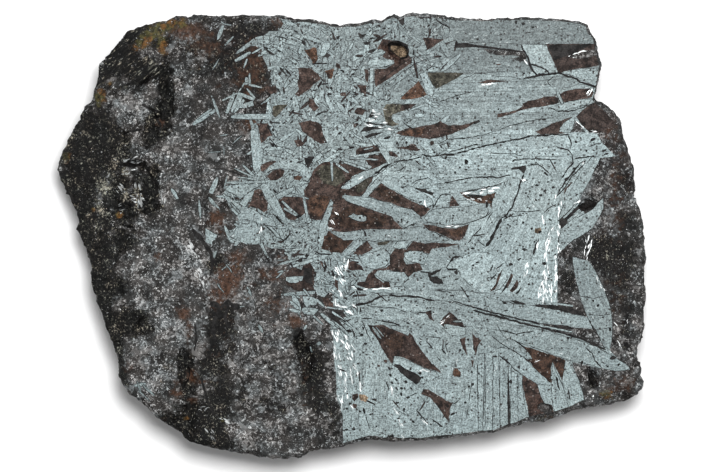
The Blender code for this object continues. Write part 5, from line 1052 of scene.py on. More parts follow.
# The felt of small laths in every direction: region, count, lengths, widths, tone and dark halo
FELT = [
    ((-30, 18, 6, 56), 480, (1.6, 6.5), (0.45, 1.5), 0.98, 0.10),
    ((6, 42, 26, 56), 110, (1.8, 7.0), (0.5, 1.5), 0.86, 0.09),
    ((-34, -5, -10, 18), 160, (1.6, 6.0), (0.4, 1.3), 0.98, 0.11),
    ((-16, -24, 2, -2), 160, (1.4, 5.0), (0.35, 1.1), 1.0, 0.11),
    ((-6, 16, 24, 40), 110, (1.8, 6.5), (0.4, 1.3), 0.96, 0.09),
    ((0, -52, 60, 20), 130, (1.6, 6.0), (0.3, 0.9), 1.0, 0.05),
]
FELT_LIFT, FELT_SPREAD = 0.02, 0.14
FELT_TIP = 0.3  # width at the ends, as a share of the middle's
GAPS = 0.13  # share of the felt's crystals that are dark gaps between the others
GAP_LENGTH, GAP_WIDTH, GAP_TONE = 0.8, 0.4, 0.7

# Hollows in the polished face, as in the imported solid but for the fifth, which is a little larger and deeper:
# middle, half width, half length, turn anticlockwise of the long axis from +Y in degrees, and depth
HOLLOWS = [
    (11.2, 46.4, 1.9, 3.1, 60, 1.6),
    (58.8, 8.3, 1.3, 2.4, -72, 1.3),
    (60.4, -35.6, 1.2, 2.9, 20, 1.2),
    (48.2, -42.9, 1.1, 2.0, 70, 1.0),
    (-12.2, -30.6, 2.2, 5.8, 12, 1.4),
    (-46.8, 34.6, 1.6, 6.4, 2, 1.8),
    (-51.5, 13.6, 2.2, 4.6, -8, 1.4),
    (-53.6, 18.4, 0.8, 3.0, 84, 1.5),
]
HOLLOW_REACH = 1.3  # half lengths beyond which a hollow isn't felt
HOLLOW_RIPPLE, RIPPLE_SIZE = 0.2, 1.3  # of a hollow's edge
HOLLOW_ROUGH, ROUGH_SEED, ROUGH_SIZE = 0.35, 1, 0.8  # of its bottom
RING_SHARES = (1.0, 0.94, 0.82, 0.64, 0.42, 0.2)
RING_POINTS, RING_LEAST = 44, 8

# Facets of a broken surface: how much their heights differ, and where the noises of their height and slope
# are read
FACET_HEIGHT, HEIGHT_RATE, SLOPE_RATE = 0.5, 5.3, 3.7
SIDE_NOISE, RIND_NOISE = (0.8, 2.0, 3), (0.8, 2.1, 3)  # fractal dimension, lacunarity and octaves

FIELD_TONE, FIELD_FELT = 0.9, 0.6
TOUCH = 1e-6  # metres within which two places are one
MEET = 1e-5  # millimetres within which two points of the parted face are one
STRAIGHT = 0.05  # sine of the turn below which a border's point isn't needed
COVER_STEP = 7.3  # between the grain of one area and the next


def inside(point, polygon):
    x, y = point
    odd = False
    for (ax, ay), (bx, by) in zip(polygon, polygon[1:] + polygon[:1]):
        if (ay > y) != (by > y) and x < ax + (y - ay) * (bx - ax) / (by - ay):
            odd = not odd
    return odd


def slanted(area):
    """A blade's or a window's area in the tone of its place."""
    places = {BLADE: SLANTS, WINDOW: SHADES}.get(area.kind, [])
    x, y = np.mean(area.outline, axis=0)
    tone = area.tone
    for cx, cy, half_x, half_y, factor in places:
        tone *= 1 + (factor - 1) * math.exp(-(((x - cx) / half_x) ** 2 + ((y - cy) / half_y) ** 2))
    return area._replace(tone=tone)


def between(start, end, share):
    return start[0] + (end[0] - start[0]) * share, start[1] + (end[1] - start[1]) * share


def fan(start_low, start_high, end_low, end_high, count, tone):
    """Long laths side by side from the start line to the end line."""
    shares = np.cumsum([0.0] + [DICE.uniform(*FAN_SHARE) for _ in range(count)])
    shares /= shares[-1]
    first, last = math.dist(start_low, start_high), math.dist(end_low, end_high)
    laths = []
    for low, high in zip(shares, shares[1:]):
        middle, share = (low + high) / 2, high - low
        start = between(start_low, start_high, middle + DICE.uniform(*FAN_SLIP) * share)
        end = between(end_low, end_high, middle + DICE.uniform(*FAN_SLIP) * share)
        near, far = DICE.uniform(*FAN_NEAR), DICE.uniform(*FAN_FAR)
        width = max(first, last) * share * DICE.uniform(*FAN_FULL)
        laths += lath(*between(start, end, near), *between(start, end, far), first * share * FAN_TIP, width,
                      last * share * FAN_TIP, tone * DICE.gauss(1.0, FAN_SPREAD), halo=FAN_HALO)
    return laths


def underlay():
    """The crystals under the larger ones: broad sheets, and fans of long laths over them."""
    areas = [Area(BLADE, ragged(outline), tone, 0.0, turn) for tone, turn, outline in SHEETS]
    for row in FANS:
        areas += fan(*row)
    return areas


def felt():
    """Small crystals in every direction."""
    areas = []
    for (low_x, low_y, high_x, high_y), count, lengths, widths, tone, halo in FELT:
        for _ in range(count):
            x, y = DICE.uniform(low_x, high_x), DICE.uniform(low_y, high_y)
            turn = DICE.uniform(0, math.tau)
            length, width = DICE.uniform(*lengths), DICE.uniform(*widths)
            shade = DICE.gauss(tone + FELT_LIFT, FELT_SPREAD)
            gap = DICE.random() < GAPS
            if gap:
                length, width = GAP_LENGTH * length, GAP_WIDTH * width
            if not inside((x, y), FIELD):
                continue
            dx, dy = math.cos(turn) * length / 2, math.sin(turn) * length / 2
            tip = width * FELT_TIP
            dark, crystal = lath(x - dx, y - dy, x + dx, y + dy, tip, width, tip, shade, halo=halo)
            if gap:
                crystal = crystal._replace(kind=WINDOW, tone=GAP_TONE, tint=TINTS["umber"])
            else:
                crystal = crystal._replace(tint=1.0)
            areas += [dark, crystal]
    return areas


def hollow_share(hollow, x, y):
    """0 at the middle of a hollow, 1 at its edge."""
    cx, cy, half_width, half_length, turn, _ = hollow
    u, v = along_axes(x - cx, y - cy, turn)
    ripple = 1 + HOLLOW_RIPPLE * wave(x, y, cx, RIPPLE_SIZE)
    return math.hypot(u / half_width, v / half_length) / ripple


def hollow_depth(x, y):
    deepest = 0.0
    for hollow in HOLLOWS:
        cx, cy, _, half_length, _, depth = hollow
        if math.hypot(x - cx, y - cy) > HOLLOW_REACH * half_length:
            continue
        share = hollow_share(hollow, x, y)
        if share < 1:
            rough = 1 + HOLLOW_ROUGH * wave(x, y, ROUGH_SEED, ROUGH_SIZE)
            deepest = max(deepest, depth * math.sqrt(1 - share * share) * rough)
    return deepest


def hollow_places():
    """Rings of places that give each hollow's bowl its shape."""
    made = []
    for x, y, half_width, half_length, turn, _ in HOLLOWS:
        for share in RING_SHARES:
            count = max(RING_LEAST, round(RING_POINTS * share))
            for i in range(count):
                angle = math.tau * i / count
                u, v = half_width * share * math.cos(angle), half_length * share * math.sin(angle)
                made.append(placed(x, y, u, v, turn))
    return made


def open_shell():
    """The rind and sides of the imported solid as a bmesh, without the polished face, hollows and back."""
    shell = bmesh.new()
    shell.from_mesh(CAD_SLAB.data)
    bmesh.ops.remove_doubles(shell, verts=shell.verts, dist=TOUCH)
    polished = [f for f in shell.faces if all(v.co.z > FACE_TOP - TOUCH for v in f.verts)]
    bmesh.ops.delete(shell, geom=polished, context="FACES")
    start = min(shell.faces, key=lambda f: f.calc_center_median().z)
    kept = {start}
    edge = [start]
    while edge:
        for side in edge.pop().edges:
            for other in side.link_faces:
                if other not in kept:
                    kept.add(other)
                    edge.append(other)
    bmesh.ops.delete(shell, geom=[f for f in shell.faces if f not in kept], context="FACES")
    back = [f for f in shell.faces if all(v.co.z < TOUCH for v in f.verts)]
    bmesh.ops.delete(shell, geom=back, context="FACES")
    return shell


def refine(shell, longest):
    """Halves the edges of a mesh of triangles, longest first, until none is longer than this."""
    while True:
        long_edges = [e for e in shell.edges if e.calc_length() > longest]
        if not long_edges:
            return
        for edge in sorted(long_edges, key=lambda e: -e.calc_length()):
            _, middle = bmesh.utils.edge_split(edge, edge.verts[0], 0.5)
            for face in list(middle.link_faces):
                corners = list(face.verts)
                across = corners[(corners.index(middle) + 2) % 4]
                bmesh.utils.face_split(face, middle, across)


def facet(place):
    """Height of a broken surface of flat facets about 1 wide, from about -0.5 to 0.5."""
    middle = noise.voronoi(place)[1][0]
    level = FACET_HEIGHT * noise.noise(middle * HEIGHT_RATE)
    slope = noise.noise_vector(middle * SLOPE_RATE)
    return level + slope.dot(place - middle)


def roughen(shell):
    """Breaks up the rind and the sides. The rim and the back's edge stay."""
    shell.normal_update()
    moved = []
    for vert in shell.verts:
        if vert.is_boundary:
            continue
        depth = min(1.0, (FACE_TOP - vert.co.z) / SIDE_EDGE, vert.co.z / SIDE_EDGE)
        coarse = facet(vert.co / SIDE_FACET)
        fine = noise.fractal(vert.co / SIDE_CRUMB, *SIDE_NOISE)
        reach = SIDE_FACETS * coarse + SIDE_CRUMBS * fine
        moved.append((vert, vert.co + vert.normal * min(reach, SIDE_MOST) * depth))
    for vert, place in moved:
        vert.co = place


def boundary_loop(edges):
    """The vertices of a closed run of edges, in order."""
    first = edges[0].verts[0]
    nexts = {}
    for edge in edges:
        a, b = edge.verts
        nexts.setdefault(a, []).append(b)
        nexts.setdefault(b, []).append(a)
    loop = [first, nexts[first][0]]
    while True:
        a, b = nexts[loop[-1]]
        following = a if b is loop[-2] else b
        if following is first:
            return loop
        loop.append(following)


def face_areas(rim):
    """Every area of the polished face, from the bottom up. The first is the whole face.

    Also the first and last of the underlay, which shows only on the field of blades, the area before it.
    """
    areas = [Area(ROCK, rim, 1.0, 0.0, 0.0)]
    areas.append(Area(BLADE, ragged(FIELD), FIELD_TONE, FIELD_FELT, 0.0))
    start = len(areas)
    areas += underlay()
    end = len(areas)
    areas += felt()
    for group in FACE:
        areas += group
    return [slanted(area) for area in areas], start, end


def top_areas(places, corners, areas, start, end):
    """The last area whose outline goes round each triangle's middle, whether or not it crosses itself."""
    middles = places[corners].mean(axis=1)
    order = np.argsort(middles[:, 1])
    xs, ys = middles[order].T
    shown = np.zeros(len(ys), int)
    for index, area in enumerate(areas[1:], 1):
        outline = area.outline
        heights = [y for _, y in outline]
        first, last = np.searchsorted(ys, (min(heights), max(heights)))
        turns = np.zeros(last - first, int)
        for (ax, ay), (bx, by) in zip(outline, outline[1:] + outline[:1]):
            bottom, top = np.searchsorted(ys, (min(ay, by), max(ay, by)))
            if bottom < top:
                right = xs[bottom:top] > ax + (ys[bottom:top] - ay) * (bx - ax) / (by - ay)
                turns[bottom - first:top - first] += right if by > ay else -1 * right
        free = shown[first:last] >= start - 1 if start <= index < end else True
        shown[first:last][(turns != 0) & free] = index
    made = np.zeros(len(ys), int)
    made[order] = shown
    return made


def triangulated(points, edges, rim_count):
    """Places, the triangles inside the rim as rows of corners, and the place of each point that went in.

    The first rim_count points are the rim.
    """
    out = delaunay_2d_cdt(points, edges, [list(range(rim_count))], 0, MEET, True)
    corners = np.array([c for c, covers in zip(out[2], out[5]) if covers])
    spots = {source: index for index, sources in enumerate(out[3]) for source in sources}
    return np.array([tuple(p) for p in out[0]]), corners, spots


def straightened(borders, places, wanted):
    """The border edges with the points left out that only a hidden line's crossing has put on them."""
    links = {}
    for a, b in borders:
        links.setdefault(a, []).append(b)
        links.setdefault(b, []).append(a)
    for place, ends in links.items():
        if place in wanted or len(ends) != 2:
            continue
        (ax, ay), (x, y), (bx, by) = places[ends[0]], places[place], places[ends[1]]
        size = math.hypot(x - ax, y - ay) * math.hypot(bx - x, by - y)
        if abs((x - ax) * (by - y) - (y - ay) * (bx - x)) < STRAIGHT * size and ends[0] != ends[1]:
            for end, other in (ends, ends[::-1]):
                links[end][links[end].index(place)] = other
            ends.clear()
    return {(min(a, b), max(a, b)) for a, ends in links.items() for b in ends}


def triangle_sides(corners):
    return corners[:, [0, 1, 1, 2, 2, 0]].reshape(-1, 2)


def rim_order(corners):
    """Places round the parted face's edge, each to the one after it."""
    sides = set(map(tuple, triangle_sides(corners).tolist()))
    return {a: b for a, b in sides if (b, a) not in sides}


def rim_loop(corners, start):
    following = rim_order(corners)
    loop = [start]
    while following[loop[-1]] != start:
        loop.append(following[loop[-1]])
    return loop


def border_edges(corners, shown):
    """The sides of triangles that have another area on the other side."""
    sides = np.sort(triangle_sides(corners), axis=1)
    owners = np.repeat(shown, 3)
    order = np.lexsort(sides.T)
    sides, owners = sides[order], owners[order]
    border = (sides[1:] == sides[:-1]).all(axis=1) & (owners[1:] != owners[:-1])
    return sides[1:][border].tolist()


def part_face(areas, start, end, extra):
    """The polished face parted along the outlines that show: its places, triangles, areas and rim places.

    The first triangulation, along every outline, only finds which borders show. The second keeps those.
    """
    points, edges = [], []
    for area in areas:
        first, count = len(points), len(area.outline)
        edges += [(first + i, first + (i + 1) % count) for i in range(count)]
        points += [Vector(p) for p in area.outline]
    rim_count = len(areas[0].outline)
    places, corners, spots = triangulated(points, edges, rim_count)
    shown = top_areas(places, corners, areas, start, end)
    loop = rim_loop(corners, spots[0])
    wanted = set(loop) | set(spots.values())
    edges = sorted(straightened(border_edges(corners, shown), places, wanted))

    kept = dict.fromkeys(loop)
    kept.update(dict.fromkeys(place for edge in edges for place in edge))
    number = {place: i for i, place in enumerate(kept)}
    points = [Vector(places[place]) for place in kept] + [Vector(p) for p in extra]
    edges = [(number[a], number[b]) for a, b in edges]
    rim_numbers = [number[spots[i]] for i in range(rim_count)]
    places, corners, spots = triangulated(points, edges, len(loop))
    shown = top_areas(places, corners, areas, start, end)
    return places, corners, shown, [spots[i] for i in rim_numbers]


def zone_shares(places):
    """How strongly each kind of zone shows at each place, from 0 to about 1."""
    x, y = np.array(places, float).reshape(-1, 2).T
    shares = []
    for rows in ZONES.values():
        total = np.zeros(len(x))
        for cx, cy, half_x, half_y, turn, strength in rows:
            u, v = along_axes(x - cx, y - cy, turn)
            total += strength * np.exp(-(((u / half_x) ** 2 + (v / half_y) ** 2) ** ZONE_EDGE))
        shares.append(total)
    return np.stack(shares, axis=1)


def blackness(places):
    return zone_shares(places)[:, list(ZONES).index("black")].tolist()


def is_rind(x, black):
    return x < RIND_EDGE and black > RIND_START


def rock_places(rim):
    """Places between which the rock's zones are read, closer together where the rind has relief."""
    made = []
    for step in (ZONE_STEP, RIND_STEP):
        grid = np.arange(-SPAN, SPAN, step)
        places = [(x + 0.5 * step * (j % 2), y) for j, y in enumerate(grid) for x in grid]
        if step == RIND_STEP:
            places = [place for place, black in zip(places, blackness(places)) if is_rind(place[0], black)]
        made += [place for place in places if inside(place, rim) and not inside(place, FIELD)]
    return made


def relief_depth(x, y, black):
    """Depth of the rind's unpolished breaks below the polished face."""
    if x > RIND_EDGE or black < RIND_START:
        return 0.0
    share = min(1.0, (black - RIND_START) / RIND_SLOPE)
    place = Vector((x, y, RIND_DEPTH))
    crumbs = RIND_CRUMBS * noise.fractal(place / RIND_CRUMB, *RIND_NOISE)
    rough = RIND_LEVEL + facet(place / RIND_FACET) + crumbs
    near = math.exp(-(math.dist((x, y), GROOVE_MIDDLE) / GROOVE_REACH) ** 4)
    along, across = along_axes(x, y, GROOVE_TURN)
    wavy = noise.noise(Vector((along / GROOVE_LENGTH, across / GROOVE_WIDTH, 1)))
    groove = GROOVE_LEVEL + GROOVE_HEIGHT * wavy
    return share * RIND_RELIEF * min(RIND_MOST, max(0.0, rough * (1 - near) + groove * near))


def sunk_place(x, y, black):
    """Where a place of the polished face lies once hollows and the rind's relief are cut, in metres."""
    return Vector((x * MM, y * MM, FACE_TOP - max(hollow_depth(x, y), relief_depth(x, y, black)) * MM))


def sink_rim(shell):
    """Takes the upper half of the shell down with the rind's relief, so that it still meets the face."""
    blacks = blackness([(v.co.x / MM, v.co.y / MM) for v in shell.verts])
    for vert, black in zip(shell.verts, blacks):
        share = max(0.0, 2 * vert.co.z / FACE_TOP - 1) ** 2
        vert.co.z -= share * relief_depth(vert.co.x / MM, vert.co.y / MM, black) * MM


def lay_out(bm):
    """The UV map for baking: the face and slopes as seen from above, the back and the sides smaller."""
    uv = bm.loops.layers.uv.new("OFBake")
    low, high = cad_bounds
    width, depth = high[0] - low[0], high[1] - low[1]
    band = depth / width + MAP_GAP  # height of the map that the face takes, and the gap above it
    left = BACK_SCALE + 2 * MAP_GAP
    for face in bm.faces:
        middle = face.calc_center_median()
        turn = math.atan2(middle.y, middle.x)
        row = 1 if turn > 0 else 0
        for loop in face.loops:
            x, y, z = loop.vert.co
            across, up = (x - low[0]) / width, (y - low[1]) / width
            away = (math.atan2(y, x) - turn + math.pi) % math.tau - math.pi
            share = (turn + away) / math.pi + (1 - row)
            if face.normal.z > FLAT:
                loop[uv].uv = (across, up)
            elif face.normal.z < -FLAT:
                loop[uv].uv = (across * BACK_SCALE, band + up * BACK_SCALE)
            else:
                loop[uv].uv = (left + share * (1 - left - MAP_GAP),
                               band + row * SIDE_HEIGHT + z / FACE_TOP * (SIDE_HEIGHT - MAP_GAP))


def shell_with_back():
    """The rind, sides and back as a bmesh, with its rim's vertices anticlockwise."""
    bm = open_shell()
    refine(bm, SIDE_STEP)
    roughen(bm)
    sink_rim(bm)
    open_edges = [e for e in bm.edges if e.is_boundary]
    rim_edges = [e for e in open_edges if e.verts[0].co.z > FACE_TOP / 2]
    back_edges = [e for e in open_edges if e.verts[0].co.z < FACE_TOP / 2]
    bm.faces.new(boundary_loop(back_edges)).material_index = BACK
    rim = boundary_loop(rim_edges)
    if signed_area([(v.co.x / MM, v.co.y / MM) for v in rim]) < 0:
        rim.reverse()
    return bm, rim


def join_rim(bm, rim, rim_places, places, corners):
    """Splits the rim where the parted face has more places on it, and gives each place's vertex."""
    following = rim_order(corners)
    made = dict(zip(rim_places, rim))
    for i, vert in enumerate(rim):
        target = rim[(i + 1) % len(rim)]
        place = following[rim_places[i]]
        last = vert
        while place not in made:
            side = next(e for e in last.link_edges if e.other_vert(last) is target)
            _, new = bmesh.utils.edge_split(side, last, 0.5)
            new.co = sunk_place(*places[place], blackness([places[place]])[0])
            made[place] = new
            last = new
            place = following[place]
    many = [f for f in bm.faces if len(f.verts) > 3]
    bmesh.ops.triangulate(bm, faces=many)
    return made


def sink_places(bm, made, rim, places):
    """Adds a vertex for every other place of the face, and gives the vertices that broken rind may have."""
    sunk = set(rim)
    for index, ((x, y), black) in enumerate(zip(places.tolist(), blackness(places))):
        if index not in made:
            made[index] = bm.verts.new(sunk_place(x, y, black))
            if is_rind(x, black):
                sunk.add(made[index])
    return sunk


def fill_face(bm, made, sunk, corners, shown, areas):
    """Adds the face's triangles, each with its area's material, tone, tint and grain."""
    tone = bm.faces.layers.float.new("tone")
    tint = bm.faces.layers.float.new("tint")
    grain = bm.loops.layers.float_vector.new("grain")
    for face in bm.faces:
        face.smooth = True
        face[tone] = 1.0
        if face.material_index != BACK:
            face.material_index = RIND
    for row, cover in zip(corners.tolist(), shown.tolist()):
        verts = [made[index] for index in row]
        area = areas[cover]
        face = bm.faces.new(verts)
        broken = area.kind == ROCK and all(vert in sunk for vert in verts)
        face.material_index = RIND if broken else area.kind
        face.smooth = False
        face[tone] = area.tone
        face[tint] = area.tint
        for loop in face.loops:
            x, y = loop.vert.co.x / MM, loop.vert.co.y / MM
            loop[grain] = (*along_axes(x, y, area.turn), cover * COVER_STEP)


def mark_zones(bm):
    zone = bm.verts.layers.float_color.new("zone")
    shares = zone_shares([(vert.co.x / MM, vert.co.y / MM) for vert in bm.verts])
    for vert, share in zip(bm.verts, shares.tolist()):
        vert[zone] = share


def build_slab():
    bm, rim = shell_with_back()
    rim_mm = [(v.co.x / MM, v.co.y / MM) for v in rim]
    areas, start, end = face_areas(rim_mm)
    extra = hollow_places() + rock_places(rim_mm)
    places, corners, shown, rim_places = part_face(areas, start, end, extra)
    made = join_rim(bm, rim, rim_places, places, corners)
    sunk = sink_places(bm, made, rim, places)
    fill_face(bm, made, sunk, corners, shown, areas)
    mark_zones(bm)
    bm.normal_update()
    lay_out(bm)
    mesh = bpy.data.meshes.new("slab_stone")
    bm.to_mesh(mesh)
    bm.free()
    stone = bpy.data.objects.new("slab_stone", mesh)
    bpy.context.scene.collection.objects.link(stone)
    return stone


class Recipe:
    """A material, with short ways to add and link its nodes. Lengths are in millimetres."""

    def __init__(self, name):
        self.material = bpy.data.materials.new(name)
        self.material.use_nodes = True
        self.nodes = self.material.node_tree.nodes
        self.links = self.material.node_tree.links
        self.shader = self.nodes["Principled BSDF"]
        metres = self.nodes.new("ShaderNodeTexCoord").outputs["Object"]
        self.place = self.scaled(metres, 1 / MM)

    def put(self, socket, value):
        if isinstance(value, bpy.types.NodeSocket):
            self.links.new(value, socket)
        else:
            socket.default_value = value

    def attribute(self, name, output="Fac"):
        node = self.nodes.new("ShaderNodeAttribute")
        node.attribute_name = name
        return node.outputs[output]

    def vector_math(self, operation, first, second):
        """The node of an operation on two vectors, the second of them fixed."""
        node = self.nodes.new("ShaderNodeVectorMath")
        node.operation = operation
        self.put(node.inputs[0], first)
        node.inputs[1].default_value = second
        return node

    def noise(self, size, detail=2.0, rough=0.5, vector=None, stretch=None):
        node = self.nodes.new("ShaderNodeTexNoise")
        self.put(node.inputs["Vector"], self.stretched(vector or self.place, stretch))
        node.inputs["Scale"].default_value = 1 / size
        node.inputs["Detail"].default_value = detail
        node.inputs["Roughness"].default_value = rough
        return node.outputs["Fac"]

    def distance(self, x, y):
        """How far each point is from a place in the polished face."""
        return self.vector_math("DISTANCE", self.place, (x, y, FACE_TOP / MM)).outputs["Value"]

    def turned(self, vector, degrees):
        node = self.nodes.new("ShaderNodeVectorRotate")
        node.rotation_type = "Z_AXIS"
        node.inputs["Angle"].default_value = math.radians(degrees)
        self.put(node.inputs["Vector"], vector)
        return node.outputs[0]

    def stretched(self, vector, stretch):
        if stretch is None:
            return vector
        return self.vector_math("MULTIPLY", vector, stretch).outputs[0]

    def warped(self, vector, size, amount):
        """vector moved about by up to amount, at this size."""
        node = self.nodes.new("ShaderNodeTexNoise")
        self.put(node.inputs["Vector"], vector)
        node.inputs["Scale"].default_value = 1 / size
        node.inputs["Detail"].default_value = 2.0
        shift = self.vector_math("MULTIPLY_ADD", node.outputs["Color"], (amount, amount, amount))
        self.put(shift.inputs[2], vector)
        return shift.outputs[0]

    def math(self, operation, a, b=0.0):
        node = self.nodes.new("ShaderNodeMath")
        node.operation = operation
        self.put(node.inputs[0], a)
        self.put(node.inputs[1], b)
        return node.outputs[0]

    def total(self, *parts):
        """The sum of values, each times its weight."""
        made = 0.0
        for value, weight in parts:
            made = self.math("ADD", made, self.math("MULTIPLY", value, weight))
        return made

    def product(self, first, *others):
        for other in others:
            first = self.math("MULTIPLY", first, other)
        return first

    def centred(self, value):
        """A value from 0 to 1, taken to -0.5 to 0.5."""
        return self.math("SUBTRACT", value, 0.5)

    def split(self, colour):
        node = self.nodes.new("ShaderNodeSeparateColor")
        self.put(node.inputs[0], colour)
        return node.outputs[0], node.outputs[1], node.outputs[2]

    def cells(self, size, vector):
        node = self.nodes.new("ShaderNodeTexVoronoi")
        self.put(node.inputs["Vector"], vector)
        node.inputs["Scale"].default_value = 1 / size
        return node

    def grains(self, size, flat=False):
        """Irregular grains: two numbers of its own from 0 to 1 for each, and the distance from its middle.

        flat is for areas that lie in the polished face alone.
        """
        cells = self.cells(size, self.warped(self.place, size * 0.8, size * 0.9))
        cells.voronoi_dimensions = "2D" if flat else "3D"
        first, second, _ = self.split(cells.outputs["Color"])
        return first, second, cells.outputs["Distance"]

    def fade(self, value, low, high, out_low=0.0, out_high=1.0):
        """value between low and high, smoothly, turned to between out_low and out_high."""
        node = self.nodes.new("ShaderNodeMapRange")
        node.interpolation_type = "SMOOTHSTEP"
        settings = {"Value": value, "From Min": low, "From Max": high, "To Min": out_low, "To Max": out_high}
        for name, setting in settings.items():
            self.put(node.inputs[name], setting)
        return node.outputs["Result"]

    def ramp(self, value, *stops):
        """A colour for a value, from (place, grey or colour) stops."""
        node = self.nodes.new("ShaderNodeValToRGB")
        self.put(node.inputs["Fac"], value)
        elements = node.color_ramp.elements
        while len(elements) < len(stops):
            elements.new(1.0)
        for element, (place, colour) in zip(elements, stops):
            element.position = place
            element.color = (*colour, 1.0) if isinstance(colour, tuple) else (colour, colour, colour, 1.0)
        return node.outputs["Color"]

    def mix(self, share, a, b, blend="MIX"):
        node = self.nodes.new("ShaderNodeMix")
        node.data_type = "RGBA"
        node.blend_type = blend
        self.put(node.inputs[0], share)
        self.put(node.inputs[6], a if isinstance(a, bpy.types.NodeSocket) else (*a, 1.0))
        self.put(node.inputs[7], b if isinstance(b, bpy.types.NodeSocket) else (*b, 1.0))
        return node.outputs[2]

    def scaled(self, colour, factor):
        node = self.nodes.new("ShaderNodeVectorMath")
        node.operation = "SCALE"
        self.put(node.inputs[0], colour)
        self.put(node.inputs["Scale"], factor)
        return node.outputs[0]

    def bump(self, height, depth):
        node = self.nodes.new("ShaderNodeBump")
        node.inputs["Strength"].default_value = 1.0
        node.inputs["Distance"].default_value = depth * MM
        self.put(node.inputs["Height"], height)
        self.put(self.shader.inputs["Normal"], node.outputs["Normal"])

    def finish(self, colour, roughness, metallic=0.0, specular=0.5):
        self.put(self.shader.inputs["Base Color"], colour)
        self.put(self.shader.inputs["Roughness"], roughness)
        self.put(self.shader.inputs["Metallic"], metallic)
        self.shader.inputs["Specular IOR Level"].default_value = specular
        return self.material


# Looks of the granular rock and the broken rind: brightness, specular level, roughness and depth of the bump
ROCK_LOOK = (0.96, 0.05, 0.60, 0.04)
RIND_LOOK = (1.0, 0.12, 0.55, 0.20)
SMOOTHER = 0.16  # how much less rough a light grain is than a dark one

# Colours are linear red, green and blue, a ramp's after the value that gets them
GROUND = ((0.58, 0.005), (0.78, (0.023, 0.022, 0.021)), (0.92, (0.056, 0.056, 0.055)),
          (1.0, (0.11, 0.11, 0.11)))
# Black breaks of the rind, and at the ramp's top a painted glint colour for facets that catch the light
BROKEN_AND_GLINTS = ((0.40, (0.003, 0.003, 0.003)), (0.54, (0.006, 0.006, 0.0056)), (0.61, (0.026, 0.025, 0.022)),
          (0.67, (0.40, 0.38, 0.31)))
LIT_GRAINS = ((0.0, 0.35), (1.0, (0.78, 0.80, 0.80)))
VEIN = (0.005, 0.005, 0.005)
WARM, COLD = (1.05, 0.99, 0.96), (0.95, 1.0, 1.02)
RUST_STAIN = ((0.006, 0.003, 0.002), (0.115, 0.060, 0.038))
OCHRE_DARK = (0.004, 0.004, 0.002)
OCHRE = ((0.250, 0.120, 0.036), (0.120, 0.110, 0.042))

# The rock's grains, coarse to fine: size, weight of a grain's own number, value from which it shows, and its
# darkest and lightest grey
GRAIN_LAYERS = ((2.2, 0.5, 0.75, 0.05, 0.15), (1.2, 0.2, 0.625, 0.045, 0.16), (0.6, 0.2, 0.615, 0.05, 0.34))
GRAIN_EDGE = 0.035
GRAIN_COOL = 1.03  # how much more green and blue than red a light grain has


def rock_parts(r):
    """The zones and noises that the layers of the rock share."""
    parts = SimpleNamespace()
    parts.bright, parts.rust, parts.black = r.split(r.attribute("zone", "Color"))
    parts.gold = r.attribute("zone", "Alpha")
    parts.waver = r.centred(r.noise(1.8, 5.0, 0.7))
    parts.cloud = r.noise(3.4, 5.0, 0.66)
    parts.fine = r.noise(0.4, 4.0, 0.75)
    sway = r.centred(r.noise(5.0, 4.0, 0.6))
    parts.smooth = r.fade(r.total((parts.black, 1.0), (parts.waver, 1.8), (sway, 1.6)), 0.30, 0.80)
    return parts


def grained(r, parts):
    """The dark ground with its layers of grains. The finest grains' own numbers stay with the parts."""
    patch, patch_shade, _ = r.grains(3.4)
    ground = r.total((parts.cloud, 0.7), (parts.fine, 0.75), (patch_shade, 0.12), (parts.smooth, -0.24),
                     (parts.bright, 0.03))
    colour = r.ramp(ground, *GROUND)
    for size, own, start, dim, light in GRAIN_LAYERS:
        parts.chosen, parts.shade, _ = r.grains(size)
        cover = r.total((r.noise(size * 0.8, 4.0, 0.75), 1.0), (r.centred(parts.chosen), own),
                        (r.centred(parts.cloud), 0.22), (r.centred(patch), 0.10),
                        (parts.bright, 0.055), (parts.smooth, -0.22))
        grey = r.ramp(parts.shade, (0.0, dim), (1.0, (light, light * GRAIN_COOL, light * GRAIN_COOL)))
        colour = r.mix(r.fade(cover, start - GRAIN_EDGE, start), colour, grey)
    return colour


def broken_surface(r, parts):
    """Black breaks sprinkled with bright facets of painted glint, which run along the grooves in the grooved
    part.
    """
    specks = r.noise(0.5, 4.0, 0.78)
    hatch = r.noise(0.7, 4.0, 0.75, r.turned(r.place, -GROOVE_TURN), (0.30, 1.4, 1.0))
    grooved = r.fade(r.distance(*GROOVE_MIDDLE), GROOVE_REACH + 4, GROOVE_REACH - 4)
    texture = r.math("ADD", specks, r.product(grooved, r.math("SUBTRACT", hatch, specks)))
    texture = r.total((texture, 1.0), (r.centred(r.noise(2.2, 4.0, 0.7)), 0.45), (parts.bright, 0.10))
    return r.ramp(texture, *BROKEN_AND_GLINTS)


def veined(r, colour):
    """The rock with a few thin dark veins, and a little warmer or colder from place to place."""
    vein = r.math("ABSOLUTE", r.centred(r.noise(8.0, 5.0, 0.62)))
    share = r.product(r.fade(vein, 0.010, 0.0), r.fade(r.noise(14.0, 2.0), 0.45, 0.60, 0.0, 0.85))
    colour = r.mix(share, colour, VEIN)
    return r.mix(1.0, colour, r.mix(r.fade(r.noise(4.0, 4.0), 0.38, 0.62), WARM, COLD), "MULTIPLY")


